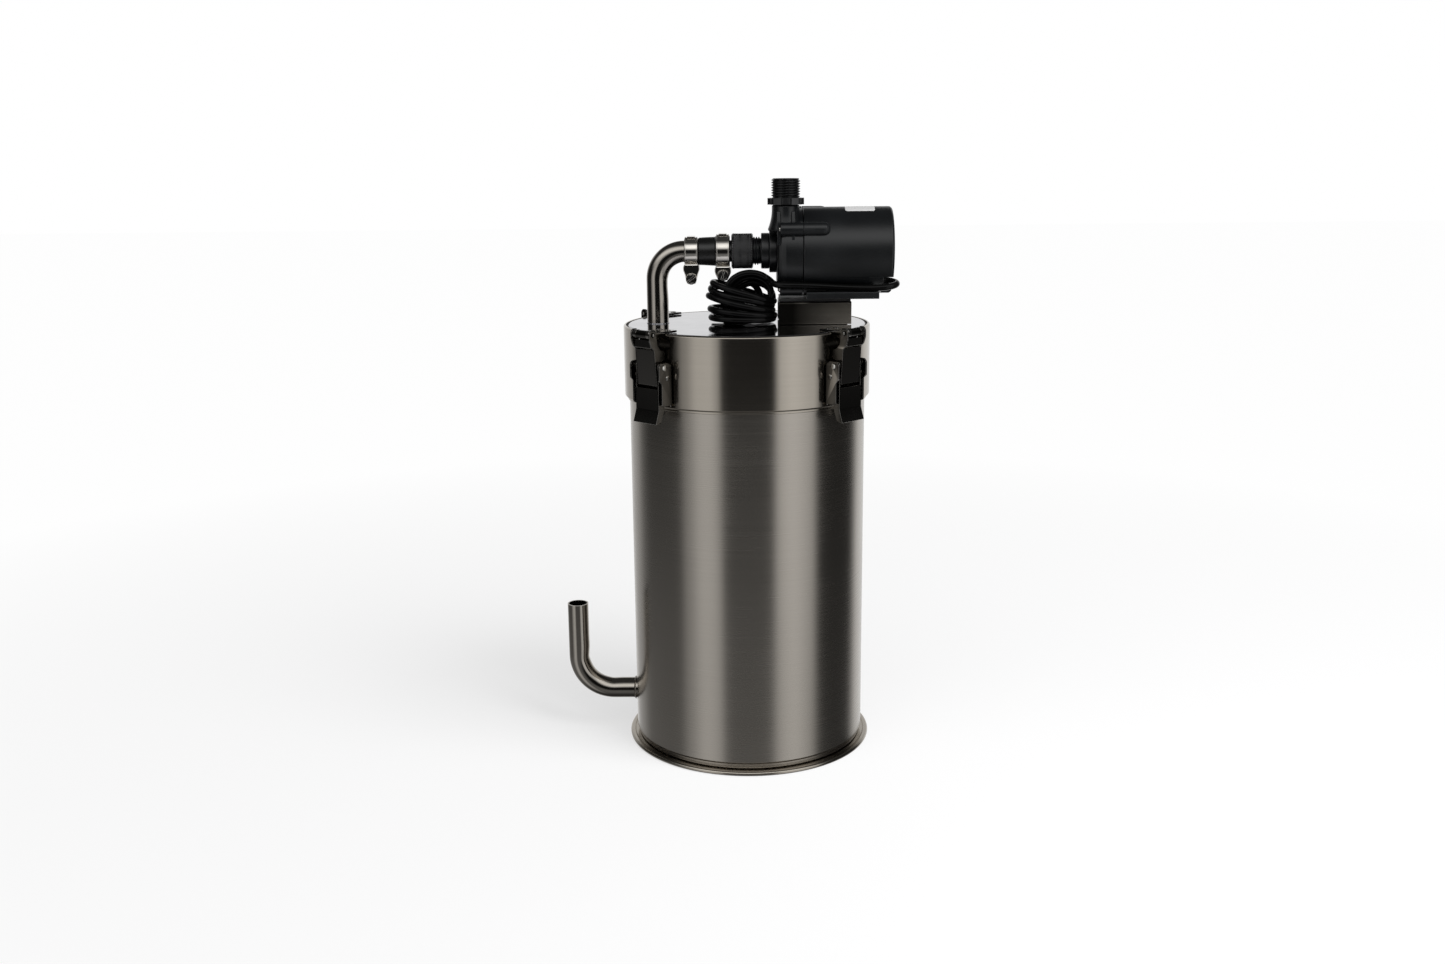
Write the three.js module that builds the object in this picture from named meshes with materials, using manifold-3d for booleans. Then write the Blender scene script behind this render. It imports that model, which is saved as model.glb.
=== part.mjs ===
// Canister filter, in millimetres. +Z is up, +X runs along the pump towards its rear end, -Y is the front.
// The origin is on the tank's axis, on the floor.
import * as THREE from "three";
import { mergeVertices } from "three/addons/utils/BufferGeometryUtils.js";
import Module from "manifold-3d";

const wasm = await Module();
wasm.setup();

const GAP = 0.3; // running gap between neighbouring parts
const ROUND = 48; // facets round the tank
const SMALL = 24; // facets round the pump and the pipes

// ---- driving dimensions ------------------------------------------------------------------------------
const TANK_R = 88;
const WALL = 1.2;
const RIM_Z = 312; // top of the tank wall
const LID_Z = 321.9; // top of the lid and of the collar
const LID_THICK = 6.3;
const COLLAR_R = 91.5;
const COLLAR_LOW = 267.4;
const PIPE_R = 8;
const PIPE_WALL = 1;
const INLET_Z = 35.5;
const INLET_X = -132.5;
const INLET_TOP = 105;
const INLET_Y = -4;
const INLET_BEND = 27;
const OUTLET_X = -65.9;
const OUTLET_BEND = 20;
const AXIS_Z = 374.5; // height of the pump's axis
const PUMP_R = 31.5;
const VOLUTE_X = [22.4, 41.1];
const MOTOR_X = [41.4, 106.5];
const BOSS_R = 5.2;
const BOSS_RING = 31.2;
const BOSS_ANGLE = 32; // of the first screw boss, above the horizontal at the front
const RISER = [28.7, -17]; // x, y of the outlet fitting's axis
const RISER_TOP = 426.8;
const THREAD_R = 10.3;
const NUT_X = [-10.8, 5.1];
const HOSE_X = [-45.5, -12];
const CLAMPS = [
  { side: "left", x: -40.4, bandR: 9.7, screwZ: 355 },
  { side: "right", x: -17.2, bandR: 11.5, screwZ: 357.3 },
];
const CLAMP_WIDE = 9.8;
const CLAMP_HOUSING = 12.2;
const FOOT_Z = [341.3, 346];
const BRACKET_X = [23.6, 76.6];
const BRACKET_Z = [LID_Z + GAP, 338.5];
const BRACKET_Y = 20;
const CABLE_R = 2.4;
const LATCH_ANGLES = { front_left: 226, front_right: 316, back_right: 46, back_left: 136 };

// Latch pins, as [distance from the tank's axis, height].
const PIN_A = [98, 299.4]; // lever on base
const PIN_B = [95.3, 292.3]; // arm on lever
const PIN_C = [103.2, 322.3]; // hook roller on arm
const EAR_RIVET = [95.3, 291.8]; // fixed rivet in each ear of the base

// ---- solids -------------------------------------------------------------------------------------------
function toSolid(geometry) {
  const bare = new THREE.BufferGeometry();
  const flat = geometry.index ? geometry.toNonIndexed() : geometry;
  bare.setAttribute("position", flat.getAttribute("position"));
  const merged = mergeVertices(bare, 1e-4);
  const tri = merged.index.array;
  const kept = [];
  for (let i = 0; i < tri.length; i += 3) {
    const [a, b, c] = [tri[i], tri[i + 1], tri[i + 2]];
    if (a !== b && b !== c && c !== a) kept.push(a, b, c);
  }
  const vertProperties = new Float32Array(merged.attributes.position.array);
  const make = (triVerts) => new wasm.Manifold(new wasm.Mesh({ numProp: 3, vertProperties, triVerts }));
  const solid = make(new Uint32Array(kept));
  if (solid.volume() > 0) return solid;
  for (let i = 0; i < kept.length; i += 3) [kept[i + 1], kept[i + 2]] = [kept[i + 2], kept[i + 1]];
  return make(new Uint32Array(kept));
}

function toGeometry(solid) {
  const mesh = solid.getMesh();
  const indexed = new THREE.BufferGeometry();
  indexed.setAttribute("position", new THREE.BufferAttribute(mesh.vertProperties, 3));
  indexed.setIndex(new THREE.BufferAttribute(mesh.triVerts, 1));
  const geometry = indexed.toNonIndexed();
  geometry.computeVertexNormals();
  return geometry;
}

// Turns a profile of [radius, height] about the Z axis.
function turnZ(profile, facets = ROUND) {
  const closed = profile[0][0] === 0 ? profile : [...profile, profile[0]];
  const points = closed.map(([r, z]) => new THREE.Vector2(r, z));
  return toSolid(new THREE.LatheGeometry(points, facets).rotateX(Math.PI / 2));
}

// Turns a profile of [radius, x] about a line parallel to X.
function turnX(profile, y, z, facets = SMALL) {
  const closed = profile[0][0] === 0 ? profile : [...profile, profile[0]];
  const points = closed.map(([r, x]) => new THREE.Vector2(r, x));
  const geometry = new THREE.LatheGeometry(points, facets).rotateZ(-Math.PI / 2);
  return toSolid(geometry.translate(0, y, z));
}

// Turns a profile of [radius, y] about a line parallel to Y.
function turnY(profile, x, z, facets = 20) {
  const closed = profile[0][0] === 0 ? profile : [...profile, profile[0]];
  const points = closed.map(([r, y]) => new THREE.Vector2(r, y));
  return toSolid(new THREE.LatheGeometry(points, facets).translate(x, 0, z));
}

const rodZ = (r, z0, z1, x = 0, y = 0, facets = SMALL) =>
  turnZ([[0, z0], [r, z0], [r, z1], [0, z1]], facets).translate([x, y, 0]);
const rodX = (r, x0, x1, y, z, facets = SMALL) => turnX([[0, x0], [r, x0], [r, x1], [0, x1]], y, z, facets);

function box(x0, x1, y0, y1, z0, z1) {
  const geometry = new THREE.BoxGeometry(x1 - x0, y1 - y0, z1 - z0);
  return toSolid(geometry.translate((x0 + x1) / 2, (y0 + y1) / 2, (z0 + z1) / 2));
}

// A plate whose outline of [x, z] points stands in the XZ plane, from y0 to y1.
function plateXZ(outline, y0, y1, holes = []) {
  const shape = new THREE.Shape(outline.map(([x, z]) => new THREE.Vector2(x, z)));
  for (const { at, r } of holes) shape.holes.push(new THREE.Path().absarc(at[0], at[1], r, 0, 2 * Math.PI, true));
  const geometry = new THREE.ExtrudeGeometry(shape, { depth: y1 - y0, bevelEnabled: false, curveSegments: 5 });
  return toSolid(geometry.rotateX(Math.PI / 2).translate(0, y1, 0));
}

// A plate whose outline of [y, z] points stands in the YZ plane, from x0 to x1.
function plateYZ(outline, x0, x1) {
  const turned = outline.map(([y, z]) => [y, z]);
  return plateXZ(turned, -x1, -x0).rotate([0, 0, 90]);
}

function both(makeSide) {
  return makeSide(1).add(makeSide(-1));
}

const acrossPlate = (outline, near, far, holes) =>
  both((s) => plateXZ(outline, Math.min(s * near, s * far), Math.max(s * near, s * far), holes));

// A round bar or tube along a curve.
function sweep(curve, r, steps, sides, bore = 0) {
  const shape = new THREE.Shape().absarc(0, 0, r, 0, 2 * Math.PI, false);
  if (bore > 0) shape.holes.push(new THREE.Path().absarc(0, 0, bore, 0, 2 * Math.PI, true));
  const options = { steps, extrudePath: curve, curveSegments: sides / 2, bevelEnabled: false };
  return toSolid(new THREE.ExtrudeGeometry(shape, options));
}

// ---- materials ----------------------------------------------------------------------------------------
const paint = (color, metalness, roughness) => new THREE.MeshStandardMaterial({ color, metalness, roughness });
const STEEL = paint(0x6f6a63, 1, 0.35);
const POLISHED = paint(0xb5b2ae, 1, 0.15);
const NICKEL = paint(0x2c2b2b, 1, 0.25);
const CHROME = paint(0xc9c6c0, 1, 0.2);
const BLACK = paint(0x16171a, 0, 0.5);
const RUBBER = paint(0x0d0d0d, 0, 0.75);
const CABLE = paint(0x0a0a0a, 0, 0.3);
const SPONGE = paint(0x2b3a4a, 0, 0.95);
const FLEECE = paint(0xdedbd0, 0, 0.95);
const CERAMIC = paint(0xcbb59b, 0, 0.9);
const GREY = paint(0x55585c, 0, 0.6);

const filter = new THREE.Group();
filter.name = "canister_filter";

function put(name, solid, material) {
  const mesh = new THREE.Mesh(toGeometry(solid), material);
  mesh.name = name;
  filter.add(mesh);
}

// ---- tank ---------------------------------------------------------------------------------------------
// The wall is a rolled tube whose foot is drawn in round the raised floor of the base plate.
const FLOOR_R = 85;
const FLOOR_TOP = 4.9;

function tankShell() {
  const profile = [
    [FLOOR_R + GAP, 3.4],
    [86.6, 3.4],
    [86.6, 6.8],
    [TANK_R, 8],
    [TANK_R, RIM_Z],
    [TANK_R - WALL, RIM_Z],
    [TANK_R - WALL, 8.4],
    [FLOOR_R + GAP, 7.2],
  ];
  const hole = rodX(PIPE_R + GAP + 0.1, -TANK_R - 3, -TANK_R + 8, INLET_Y, INLET_Z);
  return turnZ(profile).subtract(hole);
}

function basePlate() {
  const flange = [[92.7, 0], [93.5, 0.8], [93.5, 2.3], [92.7, 3.1]];
  return turnZ([[0, 0], ...flange, [FLOOR_R, 3.1], [FLOOR_R, FLOOR_TOP], [0, FLOOR_TOP]]);
}

function collar() {
  const lip = COLLAR_R - 1.9;
  return turnZ([
    [TANK_R + GAP, COLLAR_LOW],
    [lip, COLLAR_LOW],
    [lip, COLLAR_LOW + 1.9],
    [COLLAR_R, COLLAR_LOW + 2.7],
    [COLLAR_R, LID_Z - 1],
    [COLLAR_R - 1, LID_Z],
    [lip, LID_Z],
    [lip, RIM_Z - 0.6],
    [TANK_R + GAP, RIM_Z - 0.6],
  ]);
}

// The seal lies on the tank's rim and its lip stands in the gap round the lid.
const lidSeal = () =>
  turnZ([
    [84.2, RIM_Z + GAP],
    [89.3, RIM_Z + GAP],
    [89.3, LID_Z - 0.9],
    [88.5, LID_Z - 0.9],
    [88.5, LID_Z - LID_THICK - GAP],
    [84.2, LID_Z - LID_THICK - GAP],
  ]);

// The lid is a disc with a short ring below it that centres it in the tank.
function lidPlate() {
  const low = LID_Z - LID_THICK;
  const disc = turnZ([
    [0, low],
    [82, low],
    [82, low - 9],
    [83.6, low - 9],
    [83.6, low],
    [88.2, low],
    [88.2, LID_Z - 0.8],
    [87.4, LID_Z],
    [0, LID_Z],
  ]);
  return disc.subtract(rodZ(PIPE_R + GAP, low - 2, LID_Z + 2, OUTLET_X, 0));
}

// A pipe with one right-angle bend, as a line, a quarter circle and a line.
function elbowCurve(from, corner, to, bend) {
  const a = new THREE.Vector3(...from);
  const b = new THREE.Vector3(...corner);
  const c = new THREE.Vector3(...to);
  const u = a.clone().sub(b).normalize();
  const v = c.clone().sub(b).normalize();
  const centre = b.clone().addScaledVector(u, bend).addScaledVector(v, bend);
  const path = new THREE.CurvePath();
  const points = [];
  for (let i = 0; i <= 12; i += 1) {
    const angle = (i / 12) * (Math.PI / 2);
    const p = centre.clone().addScaledVector(v, -bend * Math.cos(angle)).addScaledVector(u, -bend * Math.sin(angle));
    points.push(p);
  }
  const corners = [a, ...points, c];
  for (let i = 1; i < corners.length; i += 1) path.add(new THREE.LineCurve3(corners[i - 1], corners[i]));
  return path;
}

function inletPipe() {
  const inside = -TANK_R + WALL + 0.5;
  const curve = elbowCurve(
    [inside, INLET_Y, INLET_Z],
    [INLET_X, INLET_Y, INLET_Z],
    [INLET_X, INLET_Y, INLET_TOP],
    INLET_BEND,
  );
  const weld = turnX(
    [[PIPE_R - 0.5, -90], [PIPE_R + 0.6, -89.6], [PIPE_R + 1, -88.9], [PIPE_R + 0.9, -88.4], [PIPE_R - 0.5, -88.4]],
    INLET_Y,
    INLET_Z,
  );
  return sweep(curve, PIPE_R, 20, 16, PIPE_R - PIPE_WALL).add(weld);
}

function outletPipe() {
  const curve = elbowCurve(
    [OUTLET_X, 0, LID_Z - LID_THICK - 4],
    [OUTLET_X, 0, AXIS_Z],
    [-33, 0, AXIS_Z],
    OUTLET_BEND,
  );
  const z = LID_Z + GAP;
  const weld = turnZ(
    [[PIPE_R - 0.5, z], [PIPE_R + 0.5, z], [PIPE_R + 0.5, z + 0.4], [PIPE_R - 0.5, z + 1.2]],
    SMALL,
  ).translate([OUTLET_X, 0, 0]);
  return sweep(curve, PIPE_R, 22, 16, PIPE_R - PIPE_WALL).add(weld);
}

// ---- inside the tank ----------------------------------------------------------------------------------
const BASKET_R = 83.4;
const BASKET_Z = [60.6, 280];

// A round plate with wedge-shaped windows between spokes.
function grille(radius, z0, z1, spokes) {
  const shape = new THREE.Shape(new THREE.Path().absarc(0, 0, radius, 0, 2 * Math.PI, false).getPoints(24));
  const step = (2 * Math.PI) / spokes;
  for (let i = 0; i < spokes; i += 1) {
    const path = new THREE.Path();
    path.absarc(0, 0, 74, i * step + 0.07, (i + 1) * step - 0.07, false);
    path.absarc(0, 0, 14, (i + 1) * step - 0.3, i * step + 0.3, true);
    path.closePath();
    shape.holes.push(path);
  }
  const geometry = new THREE.ExtrudeGeometry(shape, { depth: z1 - z0, bevelEnabled: false, curveSegments: 6 });
  const rim = turnZ([[radius - 4, z0], [radius, z0], [radius, z1], [radius - 4, z1]], 48);
  return toSolid(geometry.translate(0, 0, z0)).add(rim);
}

function supportGrid() {
  let solid = grille(84.5, 57, 60.3, 4);
  for (const angle of [45, 135, 225, 315]) {
    const x = 79 * Math.cos((angle * Math.PI) / 180);
    const y = 79 * Math.sin((angle * Math.PI) / 180);
    solid = solid.add(rodZ(4, 5.3, 58, x, y, 12));
  }
  return solid;
}

function mediaBasket() {
  const [low, high] = BASKET_Z;
  const wall = turnZ(
    [[BASKET_R - 1.6, low], [BASKET_R, low], [BASKET_R, high], [BASKET_R - 1.6, high]],
    48,
  );
  const lug = box(-6, 6, BASKET_R - 6, BASKET_R - 3, high - 12, high + 6);
  const web = box(-6, 6, BASKET_R - 5, BASKET_R - 0.8, high - 12, high - 2);
  const ear = lug.add(web);
  return wall.add(ear).add(ear.rotate([0, 0, 180]));
}

// The basket's floor is a grille that rests inside its wall.
const basketFloor = () => grille(BASKET_R - 1.6 - GAP, BASKET_Z[0], BASKET_Z[0] + 2.4, 4);

// The bail stands between the basket's lugs.
function basketHandle() {
  const y = BASKET_R - 6 - GAP - 3.6;
  const z = BASKET_Z[1];
  const half = [
    [0, -y, z - 8],
    [0, -y, z + 10],
    [0, -y + 12, z + 20],
  ];
  const other = half.map(([a, b, c]) => [a, -b, c]).reverse();
  const points = [...half, [0, 0, z + 22], ...other].map((p) => new THREE.Vector3(...p));
  return sweep(new THREE.CatmullRomCurve3(points), 2, 20, 8);
}

const LAYER_R = BASKET_R - 1.6 - 0.4;
const layer = (z0, z1) =>
  turnZ([[0, z0], [LAYER_R - 1, z0], [LAYER_R, z0 + 1], [LAYER_R, z1 - 1], [LAYER_R - 1, z1], [0, z1]], 30);

// ---- toggle latches: drawn at +X, then turned to their places ------------------------------------------
// The base's ears stand outside the lever; a fixed rivet is set in each, behind and below the pivot's.
function latchBase() {
  const foot = plateXZ([[91.8, 272], [93, 272], [93, 301], [91.8, 301]], -15.4, 15.4);
  const ear = [
    [91.6, 272.4],
    [99.8, 272.4],
    [100.7, 273.4],
    [100.7, 288.4],
    [103.2, 290.6],
    [103.2, 300.4],
    [101.6, 302.6],
    [95, 302.8],
    [91.6, 300.8],
  ];
  const base = foot.add(acrossPlate(ear, 14.2, 15.4, [{ at: PIN_A, r: 1.8 }]));
  const [r, z] = EAR_RIVET;
  const head = [[0, 15], [1.9, 15], [1.9, 15.8], [1.3, 16.2], [0, 16.2]];
  return base.add(turnY(head, r, z, 12)).add(turnY(head.map(([hr, y]) => [hr, -y]).reverse(), r, z, 12));
}

// Completes half a profile, given from its end at +Y inwards.
const mirroredProfile = (half) => [...half.map(([r, y]) => [r, -y]), ...[...half].reverse()];

function rivet([r, z], shank, head, reach) {
  const half = [[0, reach], [head, reach], [head, reach - 0.8], [shank, reach - 0.8]];
  return turnY(mirroredProfile(half), r, z, 10);
}

function latchLever() {
  const plate = [[99.8, 284], [99.8, 268.6], [102.7, 259.4], [103.9, 259.7], [101, 268.8], [101, 284]];
  const flange = [
    [99.6, 259.9],
    [102.7, 259.4],
    [103.9, 259.7],
    [101, 268.8],
    [101, 285.6],
    [100.6, 297.2],
    [101, 300.8],
    [99.8, 302.2],
    [97, 302.4],
    [95.4, 300.8],
    [93.6, 294.4],
    [93.4, 291.4],
    [94.4, 289],
    [96.6, 286.8],
    [95.6, 280],
    [95.6, 269],
    [98.6, 261],
  ];
  const holes = [{ at: PIN_A, r: 1.8 }, { at: PIN_B, r: 1.5 }];
  return plateXZ(plate, -11.9, 11.9).add(acrossPlate(flange, 10.7, 11.9, holes));
}

function latchArm() {
  const plate = plateXZ([[99.5, 286.4], [100.6, 286.4], [102.4, 311.6], [101.3, 311.6]], -9.95, 9.95);
  const flange = [
    [95.4, 289.4],
    [97.8, 288],
    [99.5, 286.4],
    [100.6, 286.4],
    [102.4, 311.6],
    [104.8, 313.8],
    [106.5, 318.4],
    [106.5, 323.8],
    [104.8, 325.9],
    [101.6, 325.9],
    [100, 323.8],
    [99.3, 315],
    [96.4, 311.4],
    [92.8, 310.2],
    [92.8, 304],
    [96, 303.2],
    [99.6, 302.6],
    [100.2, 300.6],
    [99.9, 296.4],
    [96.8, 295.2],
    [94.4, 294.6],
    [93.2, 292.3],
    [93.8, 290.2],
  ];
  const holes = [{ at: PIN_B, r: 1.5 }, { at: PIN_C, r: 1.6 }];
  return plate.add(acrossPlate(flange, 8.75, 9.95, holes));
}

const latchRoller = () => turnY(mirroredProfile([[0, 11.3], [1.3, 11.3], [1.3, 8.4], [3.1, 8.4]]), ...PIN_C, 14);

// The strike lies on the lid, steps down outside the collar to the ledge the roller pulls on, and ends in a lip.
const latchStrike = () =>
  plateXZ(
    [
      [79, LID_Z + GAP],
      [98.3, LID_Z + GAP],
      [98.3, 317],
      [103.2, 317],
      [103.2, 312.9],
      [104.4, 312.9],
      [104.4, 318.5],
      [99.8, 318.5],
      [99.8, 322.8],
      [99, LID_Z + GAP + 1.5],
      [79, LID_Z + GAP + 1.5],
    ],
    -8.2,
    8.2,
  );

// ---- pump ---------------------------------------------------------------------------------------------
function bossPlaces() {
  return [0, 90, 180, 270].map((turn) => {
    const a = ((BOSS_ANGLE + turn) * Math.PI) / 180;
    return [-BOSS_RING * Math.cos(a), AXIS_Z + BOSS_RING * Math.sin(a)];
  });
}

function pumpFrontCover() {
  const [x0, x1] = VOLUTE_X;
  // Outside: threaded inlet neck, two rings, the volute's face and its rim.
  let solid = turnX(
    [
      [0, -5],
      [THREAD_R, -5],
      [THREAD_R, 11],
      [13, 11],
      [13, 17],
      [15.8, 17],
      [15.8, x0],
      [26.5, x0],
      [29.6, x0 + 3],
      [30.6, x0 + 6],
      [30.6, x1],
      [0, x1],
    ],
    0,
    AXIS_Z,
    40,
  );
  for (const [y, z] of bossPlaces()) solid = solid.add(rodX(BOSS_R, x0 + 2, x1, y, z, 16));
  // The riser leaves the volute upwards, at its front.
  solid = solid.add(rodZ(10, AXIS_Z + 2, 408, ...RISER, 28));
  const eye = rodX(7, -6, x0 + 4, 0, AXIS_Z, 24);
  const chamber = rodX(21, x0 + 2.4, x1 + 1, 0, AXIS_Z, 32);
  const way = rodZ(7.4, AXIS_Z + 4, 409, ...RISER, 24);
  return solid.subtract(eye).subtract(chamber).subtract(way);
}

// The screwed-in outlet fitting: a hexagon below a male pipe thread.
function outletFitting() {
  const crest = [];
  const pitch = 1.814;
  const start = 413.4;
  for (let i = 0; i < 7; i += 1) {
    const z = start + 0.4 + i * pitch;
    crest.push([9.4, z], [10.45, z + pitch / 2]);
  }
  const tube = turnZ([[7, 408.3], [9.4, 408.3], [9.4, start], ...crest, [9.4, RISER_TOP], [7, RISER_TOP]], 24);
  const hex = turnZ([[7.5, 408.3], [13.2, 408.3], [13.2, start - 0.2], [7.5, start - 0.2]], 6);
  return tube.add(hex).translate([...RISER, 0]);
}

// The rotor's spindle stands from the bottom of the housing's pocket.
function pumpHousing() {
  const [x0, x1] = MOTOR_X;
  let solid = turnX(
    [
      [0, x0],
      [PUMP_R, x0],
      [PUMP_R, x1 - 1.5],
      [PUMP_R - 1.2, x1],
      [PUMP_R - 3.2, x1],
      [PUMP_R - 3.6, x1 - 8],
      [0, x1 - 8],
    ],
    0,
    AXIS_Z,
    48,
  );
  for (const [y, z] of bossPlaces()) {
    const domed = turnX([[0, x0], [BOSS_R, x0], [BOSS_R, 55.5], [3.8, 59.2], [0, 60.5]], y, z, 16);
    solid = solid.add(domed);
  }
  const pocket = rodX(10.4, x0 - 1, 79, 0, AXIS_Z, 24);
  const cableNotch = box(x1 - 7.9, x1 + 1, -29, -8, 338, 356.5);
  const spindle = rodX(2, 25.4, 80, 0, AXIS_Z, 16);
  return solid.subtract(pocket).subtract(cableNotch).add(spindle);
}

function impellerRotor() {
  const body = turnX(
    [[2.15, 27.4], [5, 27.4], [8, 36], [20, 37.4], [20, 39], [10, 39], [9.6, 42], [9.6, 76], [2.15, 76]],
    0,
    AXIS_Z,
    24,
  );
  let solid = body;
  for (let i = 0; i < 6; i += 1) {
    const vane = box(29.5, 38, 4.5, 19, AXIS_Z - 0.8, AXIS_Z + 0.8);
    solid = solid.add(vane.translate([0, 0, -AXIS_Z]).rotate([i * 60, 0, 0]).translate([0, 0, AXIS_Z]));
  }
  return solid;
}

function pumpFoot() {
  const [low, high] = FOOT_Z;
  let solid = box(43.6, 95.8, -30, 30, low, high);
  solid = solid.subtract(rodX(PUMP_R + GAP, 40, 110, 0, AXIS_Z, 48));
  for (const [y, z] of bossPlaces()) solid = solid.subtract(rodX(BOSS_R + GAP, 40, 61, y, z, 16));
  return solid;
}

function pumpBracket() {
  const [low, high] = BRACKET_Z;
  const w = BRACKET_Y;
  const t = 1.5;
  const outline = [
    [-w, low],
    [-w + t, low],
    [-w + t, high - t - 1],
    [-w + t + 1, high - t],
    [w - t - 1, high - t],
    [w - t, high - t - 1],
    [w - t, low],
    [w, low],
    [w, high - 2],
    [w - 0.6, high - 0.6],
    [w - 2, high],
    [-w + 2, high],
    [-w + 0.6, high - 0.6],
    [-w, high - 2],
  ];
  return plateYZ(outline, ...BRACKET_X);
}

const rubberPad = () => box(24.2, 76, -19, 19, BRACKET_Z[1] + GAP, FOOT_Z[0] - GAP);

function hoseSleeve() {
  const [x0, x1] = HOSE_X;
  return turnX(
    [
      [PIPE_R + GAP, x0],
      [9.2, x0],
      [9.4, x0 + 0.4],
      [9.4, -35.2],
      [10, -34.6],
      [10.6, -23],
      [11.2, -22.4],
      [11.2, x1],
      [PIPE_R + GAP, x1],
    ],
    0,
    AXIS_Z,
  );
}

function hoseTail() {
  const barbs = [[7.3, -30], [7.9, -27], [7.3, -24], [7.9, -21], [7.3, -18], [7.9, -15]];
  const flange = [[7.9, -7.7], [9.9, -7.7], [9.9, -5.3], [6, -5.3]];
  return turnX([[6, -30], ...barbs, ...flange], 0, AXIS_Z, 16);
}

// The union nut's outside is faceted like its knurl.
function unionNut() {
  const [a, b] = NUT_X;
  const outside = [[12, a], [13, a + 1], [13, b - 1], [12, b]];
  const inside = [[10.8, b], [10.8, -8], [8.6, -8]];
  return turnX([[8.6, a], ...outside, ...inside], 0, AXIS_Z, 28);
}

// The worm runs in a cup below the band that narrows to the screw's width.
function clampBand({ x, bandR, screwZ }) {
  const half = CLAMP_WIDE / 2;
  const ring = turnX([[bandR, x - half], [bandR + 0.8, x - half], [bandR + 0.8, x + half], [bandR, x + half]], 0, AXIS_Z);
  const top = AXIS_Z - bandR - 0.3;
  const wide = CLAMP_HOUSING / 2;
  const side = [[wide - 1.4, top], [wide, top - 1.4], [wide, top - 3.6], [3.6, screwZ - 3.9]];
  const outline = [...side.map(([dx, z]) => [x + dx, z]), ...side.reverse().map(([dx, z]) => [x - dx, z])];
  const housing = plateXZ(outline, -6.5, 6.5);
  const bore = rodYAt(x, screwZ, 2.9, -8, 8);
  const tab = box(x - 3, x + 3, -4, 5, AXIS_Z + bandR + 0.4, AXIS_Z + bandR + 1.9);
  return ring.add(housing).add(tab).subtract(bore);
}

const rodYAt = (x, z, r, y0, y1) => turnY([[0, y0], [r, y0], [r, y1], [0, y1]], x, z, 16);

// The clamp screw's slotted head faces the front.
function clampScrew({ x, screwZ: z }) {
  const head = [[0, -11], [3.4, -11], [4.1, -10.3], [4.1, -6.9]];
  const worm = [[2.6, -6.9], [2.6, 9], [2, 9.6], [0, 9.6]];
  const shank = turnY([...head, ...worm], x, z, 16);
  return shank.subtract(box(x - 0.6, x + 0.6, -12, -9.9, z - 5, z + 5));
}

// ---- cable --------------------------------------------------------------------------------------------
// The route, chosen by hand: out of the potted end, round the rim, along the foot and back to the coil.
const CABLE_ROUTE = [
  [101.2, -6.4, 352.6],
  [102.6, -6.4, 352.6],
  [105.2, -7.6, 352.4],
  [108, -11, 351.9],
  [109.4, -16, 351.2],
  [107.6, -21.4, 350.3],
  [103, -24.8, 349.5],
  [95, -25.6, 348.9],
  [80, -24.6, 348.9],
  [64, -24.2, 349.6],
  [48, -25.4, 350.6],
  [36, -25.2, 351],
  [27.5, -25.4, 351.2],
  [21, -22.4, 351.8],
  [16.5, -15.4, 351.2],
];
const GLAND_X = [98.8, 100.9];

function cableRun() {
  const curve = new THREE.CatmullRomCurve3(CABLE_ROUTE.map((p) => new THREE.Vector3(...p)), false, "centripetal");
  return sweep(curve, CABLE_R, 34, 8);
}

// A sleeve in the potting that the cable comes out of.
const cableGland = () => rodX(3.6, ...GLAND_X, CABLE_ROUTE[0][1], CABLE_ROUTE[0][2], 16);

// The wound cable, as one bundle with round ends.
function cableCoil() {
  const shape = new THREE.Shape();
  const [x0, x1] = [-29, 21.9];
  const [y0, y1] = [-22, 16];
  const r = 15;
  shape.absarc(x1 - r, y1 - r, r, 0, Math.PI / 2, false);
  shape.absarc(x0 + r, y1 - r, r, Math.PI / 2, Math.PI, false);
  shape.absarc(x0 + r, y0 + r, r, Math.PI, 1.5 * Math.PI, false);
  shape.absarc(x1 - r, y0 + r, r, 1.5 * Math.PI, 2 * Math.PI, false);
  const geometry = new THREE.ExtrudeGeometry(shape, { depth: 26, bevelEnabled: false, curveSegments: 6 });
  const stack = toSolid(geometry.translate(0, 0, LID_Z + 0.4));
  // Two turns stand up over the flat stack.
  const loops = turnY([[0, -17], [11, -17], [12, -14], [12, 8], [11, 11], [0, 11]], 3, 348, 20);
  return stack.add(loops);
}

// The cable's barrel connector lies on the lid behind the coil, its plug towards -X.
const dcConnector = () =>
  turnX(
    [[0, -26.5], [2.9, -26.5], [2.9, -17.5], [4.9, -17.5], [5.4, -16.5], [5.4, -4], [5, -2.5], [3.2, 0.5], [2.7, 4], [0, 4]],
    21.8,
    LID_Z + 5.4 + GAP + 0.1,
    20,
  );

// ---- the whole filter -----------------------------------------------------------------------------------
put("tank_shell", tankShell(), STEEL);
put("base_plate", basePlate(), STEEL);
put("collar", collar(), STEEL);
put("inlet_pipe", inletPipe(), STEEL);
put("lid_seal", lidSeal(), RUBBER);
put("support_grid", supportGrid(), GREY);
put("media_basket", mediaBasket(), GREY);
put("basket_floor", basketFloor(), GREY);
put("basket_handle", basketHandle(), BLACK);
put("coarse_sponge", layer(BASKET_Z[0] + 2.7, 110), SPONGE);
put("bio_media", layer(110.3, 215), CERAMIC);
put("fine_sponge", layer(215.3, 250), FLEECE);
put("lid_plate", lidPlate(), POLISHED);
put("outlet_pipe", outletPipe(), STEEL);
put("pump_bracket", pumpBracket(), STEEL);
put("rubber_pad", rubberPad(), RUBBER);
put("pump_foot", pumpFoot(), BLACK);
put("pump_housing", pumpHousing(), BLACK);
put("pump_front_cover", pumpFrontCover(), BLACK);
put("outlet_fitting", outletFitting(), BLACK);
put("impeller_rotor", impellerRotor(), GREY);
put("union_nut", unionNut(), BLACK);
put("hose_tail", hoseTail(), BLACK);
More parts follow.
